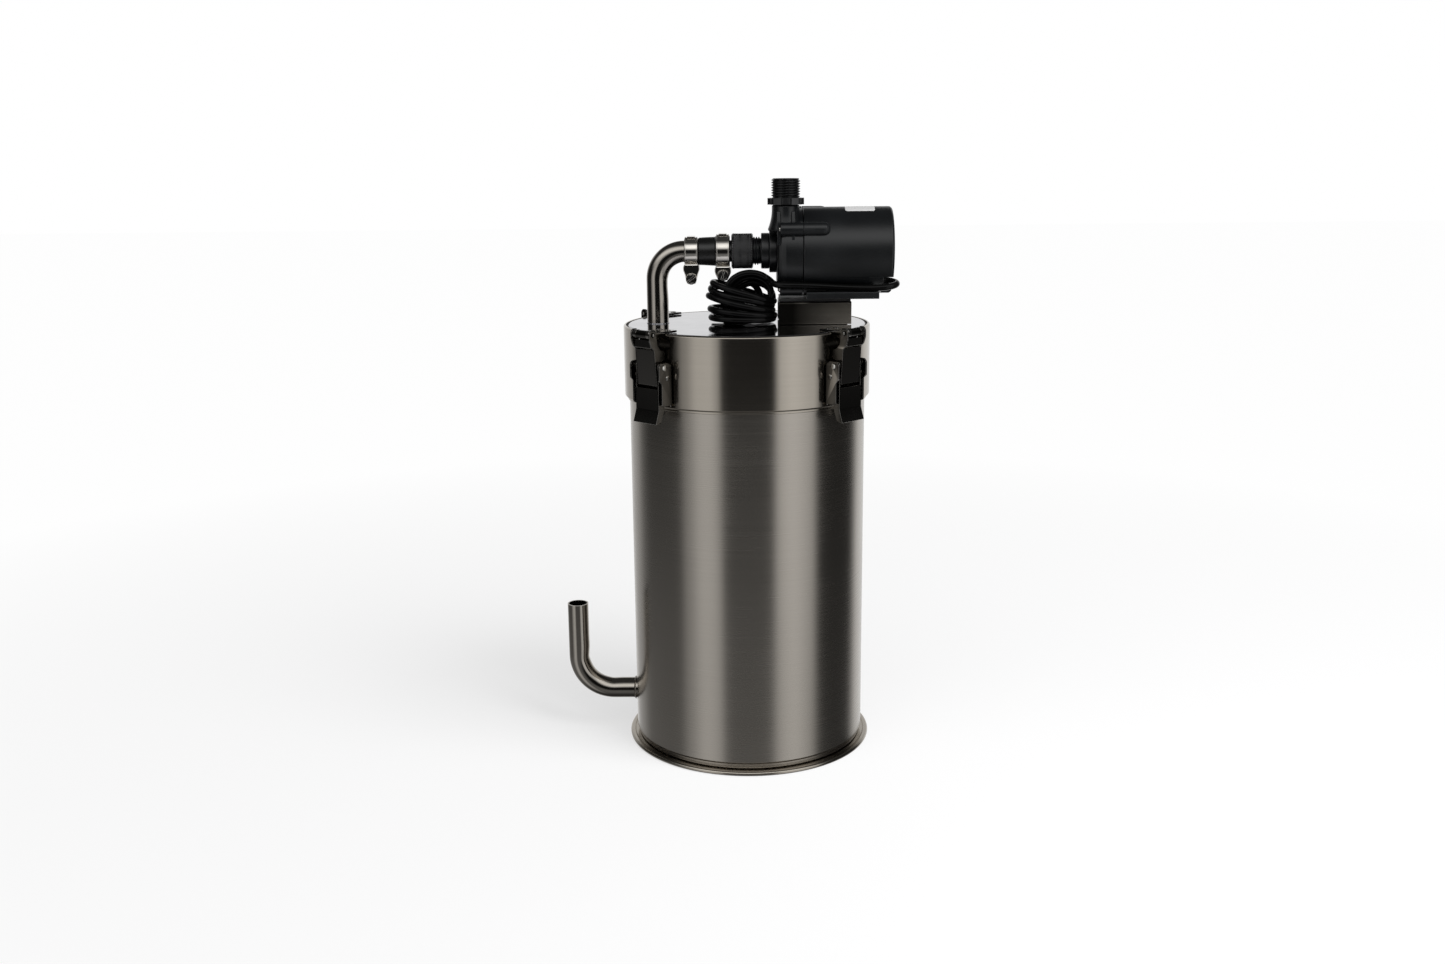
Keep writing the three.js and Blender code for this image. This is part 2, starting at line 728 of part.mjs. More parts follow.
put("hose_sleeve", hoseSleeve(), RUBBER);
for (const clamp of CLAMPS) {
  put(`clamp_band_${clamp.side}`, clampBand(clamp), CHROME);
  put(`clamp_screw_${clamp.side}`, clampScrew(clamp), CHROME);
}
put("cable_gland", cableGland(), RUBBER);
put("cable_run", cableRun(), CABLE);
put("cable_coil", cableCoil(), CABLE);
put("dc_connector", dcConnector(), CABLE);
for (const [place, angle] of Object.entries(LATCH_ANGLES)) {
  const at = (solid) => solid.rotate([0, 0, angle]);
  put(`latch_base_${place}`, at(latchBase()), NICKEL);
  put(`latch_pivot_pin_${place}`, at(rivet(PIN_A, 1.5, 2.2, 16.5)), NICKEL);
  put(`latch_lever_${place}`, at(latchLever()), NICKEL);
  put(`latch_link_pin_${place}`, at(rivet(PIN_B, 1.2, 1.9, 13)), NICKEL);
  put(`latch_arm_${place}`, at(latchArm()), NICKEL);
  put(`latch_roller_${place}`, at(latchRoller()), NICKEL);
  put(`latch_strike_${place}`, at(latchStrike()), NICKEL);
}

export default filter;
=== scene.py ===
import math

import bmesh
import bpy
from mathutils import Matrix, Vector


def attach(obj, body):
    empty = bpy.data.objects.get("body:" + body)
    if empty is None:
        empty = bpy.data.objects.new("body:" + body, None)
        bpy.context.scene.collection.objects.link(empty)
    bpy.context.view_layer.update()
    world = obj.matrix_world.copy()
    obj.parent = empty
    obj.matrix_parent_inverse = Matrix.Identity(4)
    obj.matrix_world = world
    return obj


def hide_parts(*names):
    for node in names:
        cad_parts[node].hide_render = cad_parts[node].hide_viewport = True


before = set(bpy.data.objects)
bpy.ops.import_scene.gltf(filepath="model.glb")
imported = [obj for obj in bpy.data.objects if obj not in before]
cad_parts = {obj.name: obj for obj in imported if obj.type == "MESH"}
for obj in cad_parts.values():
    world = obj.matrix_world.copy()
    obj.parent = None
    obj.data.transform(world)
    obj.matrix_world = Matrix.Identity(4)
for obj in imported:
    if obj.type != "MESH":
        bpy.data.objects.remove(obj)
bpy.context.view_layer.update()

# Lengths in this script are millimetres, in the CAD model's frame, and build() turns them into metres.
MM = 0.001

# ---- driving dimensions ----
TANK_R = 88
BASE_R = 93.5
WALL = 1.2
RIM_Z = 312
LID_Z = 321.9
LID_THICK = 6.3
COLLAR_R = 91.5
COLLAR_LOW = 267.4
GAP = 0.3
PIPE_R = 8
PIPE_WALL = 1
INLET_X, INLET_Y, INLET_Z, INLET_TOP, INLET_BEND = -132.5, -4, 35.5, 105, 27
OUTLET_X, OUTLET_BEND = -65.9, 20
AXIS_Z = 374.5
PUMP_R = 31.5
VOLUTE_X = (22.4, 41.1)
MOTOR_X = (41.4, 106.5)
BOSS_R, BOSS_RING, BOSS_ANGLE = 5.2, 31.2, 32
RISER = (28.7, -17)
RISER_TOP = 426.8
# The collar on the riser, below its thread.
OUTLET_Z = (408.3, 413.4)
THREAD_PITCH = 1.814
THREAD_ROWS = 10
NUT_X = (-10.8, 5.1)
NUT_R, NUT_MARGIN = 13, 1.2
KNURL_COUNT, KNURL_PITCH, KNURL_DEPTH = 44, 1.58, 0.9
KNURL_FACETS, KNURL_ROWS = 416, 66
HOSE_X = (-45.5, -12)
# Side, x, radius inside the band, height of the screw.
CLAMPS = (("left", -40.4, 9.7, 355), ("right", -17.2, 11.5, 357.3))
CLAMP_WIDE, CLAMP_HOUSING = 9.8, 12.2
SLOT_TILT = {"left": 52, "right": 14}
FOOT_Z = (341.3, 346)
BRACKET_X, BRACKET_Y, BRACKET_TOP = (23.6, 76.6), 20, 338.5
CABLE_R = 2.4
# In metres, from the notch in the pump's end to the connector.
GLAND_X = (98.8, 100.9)
BASKET_R, BASKET_Z = 83.4, (60.6, 280)
GRILLE_BARS, MEDIA_ROWS = 16, 24
PLACES = {"front_left": 226, "front_right": 316, "back_right": 46, "back_left": 136}
PIN_A, PIN_B, PIN_C = (98, 299.4), (95.3, 292.3), (103.2, 322.3)
EAR_RIVET = (95.3, 291.8)
# Half widths of the latch: outside of the base's ears, of the lever and of the arm, and their gauge.
EAR_HALF, LEVER_HALF, ARM_HALF, LATCH_GAUGE = 15.4, 11.9, 9.95, 1.2
# Facets round a large, a middling and a small turned piece.
LARGE, MIDDLE, SMALL = 192, 96, 28


def put(name, data):
    """A new object in the scene."""
    thing = bpy.data.objects.new(name, data)
    bpy.context.scene.collection.objects.link(thing)
    return thing


# ---- camera ----
PHOTO_WIDE = 1445
FOCAL_PX = 1406
CAMERA_AT = (0, -1048.83, 437.61)
PITCH, YAW, ROLL = (math.radians(a) for a in (12.7666, -1.0458, -0.5875))


def add_camera():
    forward = Vector((math.sin(YAW) * math.cos(PITCH), math.cos(YAW) * math.cos(PITCH), -math.sin(PITCH)))
    level = Vector((math.cos(YAW), -math.sin(YAW), 0))
    upright = level.cross(forward)
    right = level * math.cos(ROLL) + upright * math.sin(ROLL)
    up = -level * math.sin(ROLL) + upright * math.cos(ROLL)
    data = bpy.data.cameras.new("camera")
    data.sensor_width = 36
    data.lens = FOCAL_PX / PHOTO_WIDE * data.sensor_width
    data.clip_end = 50
    camera = put("camera", data)
    turned = Matrix((right, up, -forward)).transposed().to_4x4()
    camera.matrix_world = Matrix.Translation(Vector(CAMERA_AT) * MM) @ turned
    bpy.context.scene.camera = camera


# ---- shapes: (vertices, faces) in millimetres ----
def join(*shapes):
    verts, faces = [], []
    for v, f in shapes:
        start = len(verts)
        verts += v
        faces += [tuple(i + start for i in face) for face in f]
    return verts, faces


def moved(shape, matrix):
    verts, faces = shape
    return [tuple(matrix @ Vector(v)) for v in verts], faces


def shifted(shape, x=0, y=0, z=0):
    return moved(shape, Matrix.Translation((x, y, z)))


def turned_about(shape, degrees, axis):
    return moved(shape, Matrix.Rotation(math.radians(degrees), 4, axis))


def softened(points, radius, steps=3, closed=True):
    """The outline with its corners rounded, as far as the lengths beside each corner allow."""
    if radius <= 0:
        return list(points)
    out = []
    count = len(points)
    for i, p in enumerate(points):
        if not closed and i in (0, count - 1):
            out.append(tuple(p))
            continue
        here = Vector(p)
        back = Vector(points[i - 1]) - here
        ahead = Vector(points[(i + 1) % count]) - here
        cut = min(radius, back.length * 0.45, ahead.length * 0.45)
        a = here + back.normalized() * cut
        b = here + ahead.normalized() * cut
        for k in range(steps + 1):
            t = k / steps
            out.append(tuple(a * (1 - t) ** 2 + here * 2 * t * (1 - t) + b * t * t))
    return out


def skin(rows, closed):
    """The faces between neighbouring rows of points. A row may be one point repeated."""
    faces = []
    pairs = list(zip(rows, rows[1:])) + ([(rows[-1], rows[0])] if closed else [])
    for low, high in pairs:
        for k in range(len(low)):
            n = (k + 1) % len(low)
            face = tuple(dict.fromkeys((low[k], low[n], high[n], high[k])))
            if len(face) > 2:
                faces.append(face)
    return faces


def turn(profile, axis="Z", at=(0, 0, 0), facets=MIDDLE, soft=0.0, ripple=None):
    """A profile of (radius, height) turned about an axis. ripple(angle, r, h) gives a new radius."""
    ring = profile[0][0] > 1e-6
    if soft:
        profile = softened(profile, soft, closed=ring)
    verts, rows = [], []
    for r, h in profile:
        if r < 1e-6:
            rows.append([len(verts)] * facets)
            verts.append((0, 0, h))
            continue
        rows.append(list(range(len(verts), len(verts) + facets)))
        for k in range(facets):
            a = 2 * math.pi * k / facets
            rr = ripple(a, r, h) if ripple else r
            verts.append((rr * math.cos(a), rr * math.sin(a), h))
    faces = skin(rows, ring)
    if axis == "X":
        verts = [(h, x, y) for x, y, h in verts]
    elif axis == "Y":
        verts = [(y, h, x) for x, y, h in verts]
    return shifted((verts, faces), *at)


def turn_on_axis(profile, facets, **options):
    """The same about the pump's axis, for a profile of (radius, x)."""
    return turn(profile, "X", (0, 0, AXIS_Z), facets, **options)


def circle(at, r):
    angles = [2 * math.pi * k / SMALL for k in range(SMALL)]
    return [(at[0] + r * math.cos(a), at[1] + r * math.sin(a)) for a in angles]


def plate(outline, y0, y1, holes=(), edge=0.2, soft=0.0):
    """A plate whose outline of (x, z) stands in the XZ plane from y0 to y1, with rounded edges."""
    curve = bpy.data.curves.new("plate", "CURVE")
    curve.dimensions = "2D"
    curve.fill_mode = "BOTH"
    curve.extrude = (y1 - y0) / 2 - edge
    curve.bevel_depth = edge
    curve.bevel_resolution = 1
    curve.offset = -edge
    for loop in [softened(outline, soft, 4)] + [list(h) for h in holes]:
        spline = curve.splines.new("POLY")
        spline.points.add(len(loop) - 1)
        for point, (x, z) in zip(spline.points, loop):
            point.co = (x, z, 0, 1)
        spline.use_cyclic_u = True
    holder = put("plate", curve)
    graph = bpy.context.evaluated_depsgraph_get()
    mesh = bpy.data.meshes.new_from_object(holder.evaluated_get(graph))
    verts = [(v.co.x, (y0 + y1) / 2 - v.co.z, v.co.y) for v in mesh.vertices]
    faces = [tuple(p.vertices) for p in mesh.polygons]
    bpy.data.objects.remove(holder)
    bpy.data.curves.remove(curve)
    bpy.data.meshes.remove(mesh)
    return verts, faces


def plate_yz(outline, x0, x1, **options):
    """The same for an outline of (y, z) from x0 to x1."""
    return turned_about(plate(outline, -x1, -x0, **options), 90, "Z")


def slab(x0, x1, y0, y1, z0, z1, edge=0.2, soft=0.0):
    return plate([(x0, z0), (x1, z0), (x1, z1), (x0, z1)], y0, y1, edge=edge, soft=soft)


def frames_along(path):
    """A direction and two cross directions at each point of a path, with no twist."""
    points = [Vector(p) for p in path]
    count = len(points)
    out = []
    side = None
    for i in range(count):
        ahead = (points[min(i + 1, count - 1)] - points[max(i - 1, 0)]).normalized()
        if side is None:
            side = ahead.cross(Vector((0, 1, 0)))
            if side.length < 0.1:
                side = ahead.cross(Vector((1, 0, 0)))
        side = (side - ahead * side.dot(ahead)).normalized()
        out.append((points[i], side, ahead.cross(side)))
    return out


def tube(path, radius, facets=32, bore=0.0, dent=None):
    """A bar or tube along a path. dent(i, direction) gives how far the wall is pressed in."""
    placed = frames_along(path)
    rings = [(i, radius) for i in range(len(placed))]
    if bore:
        rings += [(i, bore) for i in reversed(range(len(placed)))]
    verts = []
    for i, r in rings:
        centre, side, across = placed[i]
        for k in range(facets):
            a = 2 * math.pi * k / facets
            out = side * math.cos(a) + across * math.sin(a)
            rr = r - (dent(i, out) if dent else 0)
            verts.append(tuple(centre + out * rr))
    rows = [tuple(range(i * facets, (i + 1) * facets)) for i in range(len(rings))]
    faces = skin(rows, closed=bool(bore))
    if not bore:
        faces += [tuple(reversed(rows[0])), rows[-1]]
    return verts, faces


def helix_thread(z0, z1, root, crest, bore, facets=72):
    """A tube with a screw thread outside, about the Z axis."""
    pitch = THREAD_PITCH
    rows = int((z1 - z0) / pitch * THREAD_ROWS)
    heights = [z0 + (z1 - z0) * i / rows for i in range(rows + 1)]
    profile = [(bore, z1), (bore, z0)] + [(crest, h) for h in heights]

    def ripple(angle, r, h):
        if r < root:
            return r
        phase = ((h - z0) / pitch - angle / (2 * math.pi)) % 1
        height = 1 - abs(2 * phase - 1)
        fade = min(1, (h - z0) / pitch * 1.5, (z1 - h) / pitch * 1.5)
        flat = min(1, max(0, (height - 0.15) / 0.6))
        return root + (crest - root) * flat * max(0, fade)

    return turn(profile, facets=facets, ripple=ripple)


# ---- objects ----
# Points nearer than MERGE become one, and edges shorter than SLIVER go.
MERGE = 0.004
SLIVER = 0.001


def shade_by_area(piece):
    """Large faces keep their own shading; only the rounded edges beside them are blended."""
    weighted = piece.modifiers.new("shading", "WEIGHTED_NORMAL")
    weighted.mode = "FACE_AREA"
    weighted.weight = 100
    weighted.keep_sharp = True


def build(name, shape, material, body, replaces=None, sharp=35):
    """A piece that rides on a body. Edges that turn by more than sharp degrees stay sharp."""
    verts, faces = shape
    mesh = bpy.data.meshes.new(name)
    mesh.from_pydata([tuple(c * MM for c in v) for v in verts], [], faces)
    bm = bmesh.new()
    bm.from_mesh(mesh)
    bmesh.ops.remove_doubles(bm, verts=bm.verts, dist=MERGE * MM)
    bmesh.ops.dissolve_degenerate(bm, edges=bm.edges, dist=SLIVER * MM)
    bmesh.ops.recalc_face_normals(bm, faces=bm.faces)
    limit = math.radians(sharp)
    for face in bm.faces:
        face.smooth = True
    for edge in bm.edges:
        if len(edge.link_faces) == 2 and edge.calc_face_angle(0) > limit:
            edge.smooth = False
    bm.to_mesh(mesh)
    bm.free()
    mesh.materials.append(material)
    piece = put(name, mesh)
    shade_by_area(piece)
    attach(piece, body)
    if replaces:
        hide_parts(replaces)
    return piece


# ---- materials ----
class Wires:
    """Short ways to make nodes and to link them."""

    def __init__(self, tree):
        self.nodes = tree.nodes
        self.links = tree.links

    def add(self, kind, inputs=None, **settings):
        node = self.nodes.new(kind)
        for key, value in settings.items():
            setattr(node, key, value)
        for key, value in (inputs or {}).items():
            self.give(node.inputs[key], value)
        return node

    def give(self, socket, value):
        if isinstance(value, bpy.types.NodeSocket):
            self.links.new(value, socket)
        else:
            socket.default_value = value

    def math(self, operation, *values):
        return self.add("ShaderNodeMath", dict(enumerate(values)), operation=operation).outputs[0]

    def mix(self, fac, first, second):
        colors = [(*value, 1) if isinstance(value, tuple) else value for value in (first, second)]
        inputs = {"Factor": fac, 6: colors[0], 7: colors[1]}
        return self.add("ShaderNodeMix", inputs, data_type="RGBA").outputs[2]


class Paint(Wires):
    """A principled material."""

    def __init__(self, name, color, metal, rough):
        self.material = bpy.data.materials.new(name)
        self.material.use_nodes = True
        super().__init__(self.material.node_tree)
        self.shader = self.nodes["Principled BSDF"]
        self.shader.inputs["Base Color"].default_value = (*color, 1)
        self.shader.inputs["Metallic"].default_value = metal
        self.shader.inputs["Roughness"].default_value = rough
        self.place = self.add("ShaderNodeTexCoord").outputs["Object"]

    def stretched(self, x, y, z):
        return self.add("ShaderNodeMapping", {"Vector": self.place, "Scale": (x, y, z)}).outputs["Vector"]

    def noise(self, scale, detail=4, rough=0.55, at=None):
        inputs = {"Vector": at or self.place, "Scale": scale, "Detail": detail, "Roughness": rough}
        return self.add("ShaderNodeTexNoise", inputs).outputs["Fac"]

    def spread(self, fac, low, high, out_low, out_high):
        inputs = {"Value": fac, "From Min": low, "From Max": high, "To Min": out_low, "To Max": out_high}
        return self.add("ShaderNodeMapRange", inputs).outputs["Result"]

    def edges(self, low=0.52, high=0.6):
        point = self.add("ShaderNodeNewGeometry").outputs["Pointiness"]
        return self.spread(point, low, high, 0, 1)

    def set(self, socket, value):
        self.links.new(value, self.shader.inputs[socket])

    def bump(self, height, strength, distance):
        inputs = {"Height": height, "Strength": strength, "Distance": distance}
        self.set("Normal", self.add("ShaderNodeBump", inputs).outputs["Normal"])


def brushed(name, color, rough, stretch, radial=None, grain=0.08, fade=None):
    """Brushed stainless. stretch is the scale along x, y and z: the fine direction crosses the brushing.

    fade paints shade into the colour, darker towards low x: it is (x where dark, x where full, share of the
    colour left where dark).
    """
    depth = 0.06
    paint = Paint(name, color, 1.0, rough)
    lines = paint.noise(1.0, 6, 0.7, paint.stretched(*stretch))
    clouds = paint.noise(9.0, 3)
    darker = tuple(c * (1 - depth) for c in color)
    lighter = tuple(min(1, c * (1 + depth)) for c in color)
    tone = paint.mix(paint.spread(lines, 0.25, 0.75, 0, 1), darker, lighter)
    # Painted shade: the colour darkens towards low x.
    if fade:
        x = paint.add("ShaderNodeSeparateXYZ", {"Vector": paint.place}).outputs["X"]
        share = paint.spread(x, fade[0] * MM, fade[1] * MM, 1, 0)
        tone = paint.mix(share, tone, tuple(c * fade[2] for c in color))
    paint.set("Base Color", tone)
    mixed = paint.math("MULTIPLY", lines, clouds)
    paint.set("Roughness", paint.spread(mixed, 0.1, 0.45, rough * 0.8, rough * 1.25))
    paint.bump(lines, grain, 0.00006)
    if radial:
        paint.shader.inputs["Anisotropic"].default_value = 0.6
        paint.shader.inputs["Anisotropic Rotation"].default_value = 0.25
        tangent = paint.add("ShaderNodeTangent", direction_type="RADIAL", axis=radial)
        paint.set("Tangent", tangent.outputs["Tangent"])
    return paint.material


def polished(name, color, rough, painted_edge_highlight=None, smudge=0.06):
    """Polished metal with faint smudges and, when an edge colour is given, a painted highlight in that
    lighter colour on its edges.
    """
    paint = Paint(name, color, 1.0, rough)
    marks = paint.noise(55.0, 5, 0.6)
    fine = paint.noise(900.0, 3, 0.6)
    paint.set("Roughness", paint.spread(marks, 0.3, 0.7, rough, rough + smudge))
    base = paint.mix(paint.spread(marks, 0.3, 0.7, 0, 1), color, tuple(c * 0.8 for c in color))
    # A lighter colour on the convex edges: a painted highlight where the edges catch the light.
    if painted_edge_highlight:
        base = paint.mix(paint.edges(), base, painted_edge_highlight)
    paint.set("Base Color", base)
    paint.bump(fine, 0.08, 0.00004)
    return paint.material


def moulded(name, color, rough, grain=1400.0, strength=0.25, gloss=0.5):
    """Moulded plastic with a fine grain, faint flow marks and a painted highlight on its edges."""
    paint = Paint(name, color, 0.0, rough)
    paint.shader.inputs["Specular IOR Level"].default_value = gloss
    flow = paint.noise(26.0, 4)
    fine = paint.noise(grain, 2, 0.5)
    lighter = tuple(min(1, c * 1.5 + 0.002) for c in color)
    tone = paint.mix(paint.spread(flow, 0.3, 0.7, 0, 1), color, lighter)
    # A lighter colour on the convex edges: a painted highlight where the edges catch the light.
    painted_edge_highlight = tuple(min(1, c * 2.5 + 0.01) for c in color)
    paint.set("Base Color", paint.mix(paint.edges(0.53, 0.66), tone, painted_edge_highlight))
    paint.set("Roughness", paint.spread(flow, 0.3, 0.7, rough * 0.88, rough * 1.12))
    paint.bump(fine, strength, 0.00008)
    return paint.material


def foam(name, color, cell, depth):
    """Open-cell foam or fleece: pores from a cell texture, sunk by a bump and darkened with painted shade."""
    paint = Paint(name, color, 0.0, 0.95)
    pores = paint.add("ShaderNodeTexVoronoi", {"Vector": paint.place, "Scale": cell}).outputs["Distance"]
    hole = paint.spread(pores, 0.15, 0.55, 0, 1)
    # The pores are darker in the colour: painted shade in the holes.
    paint.set("Base Color", paint.mix(hole, tuple(c * 0.35 for c in color), color))
    paint.bump(hole, 0.8, depth)
    return paint.material


TANK_STEEL = brushed("tank_brushed_steel", (0.42, 0.39, 0.35), 0.26, (5, 5, 2600), "Z", grain=0.03)
COLLAR_STEEL = brushed("collar_brushed_steel", (0.42, 0.385, 0.335), 0.16, (5, 5, 2600), "Z", grain=0.04)
PIPE_STEEL = brushed("pipe_brushed_steel", (0.36, 0.335, 0.3), 0.12, (260, 260, 260), grain=0.03)
# The bracket's colour darkens towards the coil at low x: painted shade from the coil.
BRACKET_STEEL = brushed("bracket_brushed_steel", (0.4, 0.37, 0.32), 0.34, (14, 14, 1500), fade=(34, 80, 0.05))
LID_STEEL = polished("lid_polished_steel", (0.55, 0.55, 0.57), 0.05, smudge=0.03)
WELD = polished("weld_bead", (0.3, 0.27, 0.24), 0.22)
# The latch and clamp metals get a painted highlight on their edges.
NICKEL = polished("latch_dark_steel", (0.075, 0.072, 0.066), 0.13, painted_edge_highlight=(0.5, 0.48, 0.45))
RIVET = polished("rivet_steel", (0.66, 0.64, 0.6), 0.1)
CHROME = polished("clamp_bright_steel", (0.72, 0.69, 0.64), 0.07, painted_edge_highlight=(0.9, 0.88, 0.84))
BLACK = moulded("pump_black_plastic", (0.0022, 0.0026, 0.003), 0.34)
BLACK_DULL = moulded("fitting_black_plastic", (0.002, 0.002, 0.0022), 0.3)
RUBBER = moulded("black_rubber", (0.003, 0.003, 0.003), 0.5, grain=800.0, strength=0.4)
HOSE = moulded("hose_rubber", (0.0015, 0.0015, 0.0015), 0.3, grain=500.0, strength=0.2)
CABLE = moulded("cable_jacket", (0.001, 0.001, 0.001), 0.12, grain=900.0, strength=0.06, gloss=0.12)
NUT = moulded("nut_black_plastic", (0.004, 0.004, 0.0044), 0.2, grain=2000.0, strength=0.1, gloss=0.9)
GREY = moulded("grey_plastic", (0.09, 0.1, 0.11), 0.5)
SPONGE = foam("coarse_foam", (0.03, 0.06, 0.1), 420.0, 0.0012)
FLEECE = foam("fine_fleece", (0.75, 0.74, 0.7), 1500.0, 0.0003)
CERAMIC = foam("ceramic_rings", (0.6, 0.5, 0.38), 120.0, 0.0025)
LABEL = moulded("blank_label", (0.23, 0.23, 0.23), 0.35, strength=0.05)


# ---- light and floor ----
# Lamp brightness round the part, by the angle from the front in degrees, positive to +X, at eye level.
BANDS = [
    (-180, 0.85), (-165, 0.85), (-150, 0.6), (-138, 0.5), (-122, 0.12), (-112, 0.02), (-70, 0.02),
    (-60, 0.4), (-46, 0.78), (-34, 0.82), (-28, 0.6), (-22, 0.03), (-16, 0.01), (23, 0.01), (32, 0.85),
    (42, 0.98), (64, 0.8), (74, 0.02), (120, 0.02), (142, 0.85), (180, 0.85),
]
# The same from FLOOR_FADE down towards the floor, where the gaps between the lamps are lighter.
LOW_BANDS = [
    (-180, 1.0), (-165, 0.9), (-150, 0.5), (-138, 0.4), (-118, 0.22), (-74, 0.2), (-60, 0.42),
    (-44, 0.7), (-31, 0.6), (-20, 0.2), (21, 0.2), (32, 0.66), (48, 0.78), (64, 0.55), (76, 0.06),
    (118, 0.06), (140, 0.85), (180, 1.0),
]
# Brightness from the horizon up over the front, by elevation in degrees: a soft box hangs above the camera.
FRONT_CLIMB = [
    (-90, 0.0), (-20, 0.0), (-4, 0.08), (10, 0.35), (24, 1.1), (38, 1.5), (52, 1.2), (64, 0.3), (80, 0.02),
]
# Between these elevations one brightness passes into the next.
FLOOR_FADE, FRONT_FADE, TOP_FADE, UNDER_FADE = (-25, -7), (8, 30), (18, 36), (-75, -35)
TOP_LIGHT = UNDER_LIGHT = 0.05
FRONT_SPREAD = 0.5
LAMP_STRENGTH = 1.0
ROOM_STRENGTH = 1.0
# A soft lamp that throws the shadow: place and aim in millimetres, side in metres, power in watts.
KEY_AT, KEY_AIM, KEY_SIDE, KEY_POWER = (900, -700, 1400), (0, 0, 250), 1.0, 28
# The floor paper: half side and drop in metres, then how its own glow grows with distance from the part.
FLOOR_HALF, FLOOR_DROP = 9, 0.0002
GLOW_FROM, GLOW_TO, GLOW_NEAR, GLOW_FAR = 0.1, 1.1, 0.62, 0.98


def add_world():
    """A white room for the camera; for the rest, lamps beside a dark front and one high above it."""
    world = bpy.data.worlds.new("studio")
    bpy.context.scene.world = world
    world.use_nodes = True
    world.node_tree.nodes.clear()
    wires = Wires(world.node_tree)
    place = wires.add("ShaderNodeTexCoord").outputs["Generated"]
    x, y, z = wires.add("ShaderNodeSeparateXYZ", {"Vector": place}).outputs
    front = wires.math("MULTIPLY", y, -1.0)
    around = wires.math("ADD", wires.math("DIVIDE", wires.math("ARCTAN2", x, front), 2 * math.pi), 0.5)
    height = wires.math("MULTIPLY", wires.math("ADD", wires.math("ARCSINE", z), math.pi / 2), 1 / math.pi)

    def ramp(source, stops):
        """stops are (place from 0 to 1, brightness)."""
        node = wires.add("ShaderNodeValToRGB", {0: source})
        node.color_ramp.interpolation = "EASE"
        elements = node.color_ramp.elements
        while len(elements) < len(stops):
            elements.new(0.5)
        for element, (at, level) in zip(elements, stops):
            element.position = at
            element.color = (level, level, level, 1)
        return node.outputs[0]

    def bands(stops):
        return ramp(around, [(0.5 + angle / 360, level) for angle, level in stops])

    def by_elevation(stops):
        return ramp(height, [((angle + 90) / 180, level) for angle, level in stops])

    def climb(low, high):
        """0 below the elevation low and 1 above high, in degrees."""
        return by_elevation([(low, 0.0), (high, 1.0)])

    level = wires.mix(climb(*FLOOR_FADE), bands(LOW_BANDS), bands(BANDS))
    level = wires.mix(climb(*TOP_FADE), level, (TOP_LIGHT,) * 3)
    spread = {"Value": front, "From Min": 0.0, "From Max": FRONT_SPREAD}
    ahead = wires.add("ShaderNodeMapRange", spread, interpolation_type="SMOOTHSTEP").outputs["Result"]
    level = wires.mix(wires.math("MULTIPLY", climb(*FRONT_FADE), ahead), level, by_elevation(FRONT_CLIMB))
    level = wires.mix(climb(*UNDER_FADE), (UNDER_LIGHT,) * 3, level)
    lamps = wires.add("ShaderNodeBackground", {"Color": level, "Strength": LAMP_STRENGTH})
    room = wires.add("ShaderNodeBackground", {"Color": (1, 1, 1, 1), "Strength": ROOM_STRENGTH})
    seen = wires.add("ShaderNodeLightPath").outputs["Is Camera Ray"]
    both = wires.add("ShaderNodeMixShader", {0: seen, 1: lamps.outputs[0], 2: room.outputs[0]})
    wires.add("ShaderNodeOutputWorld", {"Surface": both.outputs[0]})


def add_key_lamp():
    data = bpy.data.lights.new("key_lamp", "AREA")
    data.shape = "RECTANGLE"
    data.size = data.size_y = KEY_SIDE
    data.energy = KEY_POWER
    lamp = put("key_lamp", data)
    lamp.visible_glossy = False
    lamp.location = Vector(KEY_AT) * MM
    toward = (Vector(KEY_AIM) - Vector(KEY_AT)).normalized()
    lamp.rotation_euler = toward.to_track_quat("-Z", "Y").to_euler()


def add_floor():
    """Pale paper that glows more the further it is from the part, so that it fades into the white room."""
    paint = Paint("floor_paper", (0.9, 0.9, 0.905), 0.0, 0.9)
    paint.bump(paint.noise(60.0), 0.02, 0.0002)
    away = paint.add("ShaderNodeVectorMath", {0: paint.place}, operation="LENGTH").outputs["Value"]
    glow = paint.add("ShaderNodeEmission", {"Color": (1, 1, 1, 1), "Strength": 1.0})
    share = paint.spread(away, GLOW_FROM, GLOW_TO, GLOW_NEAR, GLOW_FAR)
    mixed = paint.add("ShaderNodeMixShader", {0: share, 1: paint.shader.outputs[0], 2: glow.outputs[0]})
    paint.links.new(mixed.outputs[0], paint.nodes["Material Output"].inputs["Surface"])
    corners = [(x * FLOOR_HALF, y * FLOOR_HALF, 0) for x, y in ((-1, -1), (1, -1), (1, 1), (-1, 1))]
    mesh = bpy.data.meshes.new("floor")
    mesh.from_pydata(corners, [], [(0, 1, 2, 3)])
    mesh.materials.append(paint.material)
    floor = put("floor", mesh)
    floor.location.z = -FLOOR_DROP
    floor.visible_glossy = False


# ---- cable ----
# The route of the CAD model, in metres.
CABLE_ROUTE = [
    (0.1012, -0.0064, 0.3526), (0.1026, -0.0064, 0.3526), (0.1052, -0.0076, 0.3524),
    (0.108, -0.011, 0.3519), (0.1094, -0.016, 0.3512), (0.1076, -0.0214, 0.3503),
    (0.103, -0.0248, 0.3495), (0.095, -0.0256, 0.3489), (0.08, -0.0246, 0.3489),
    (0.064, -0.0242, 0.3496), (0.048, -0.0254, 0.3506), (0.036, -0.0252, 0.351),
    (0.0275, -0.0254, 0.3512), (0.021, -0.0224, 0.3518),
]
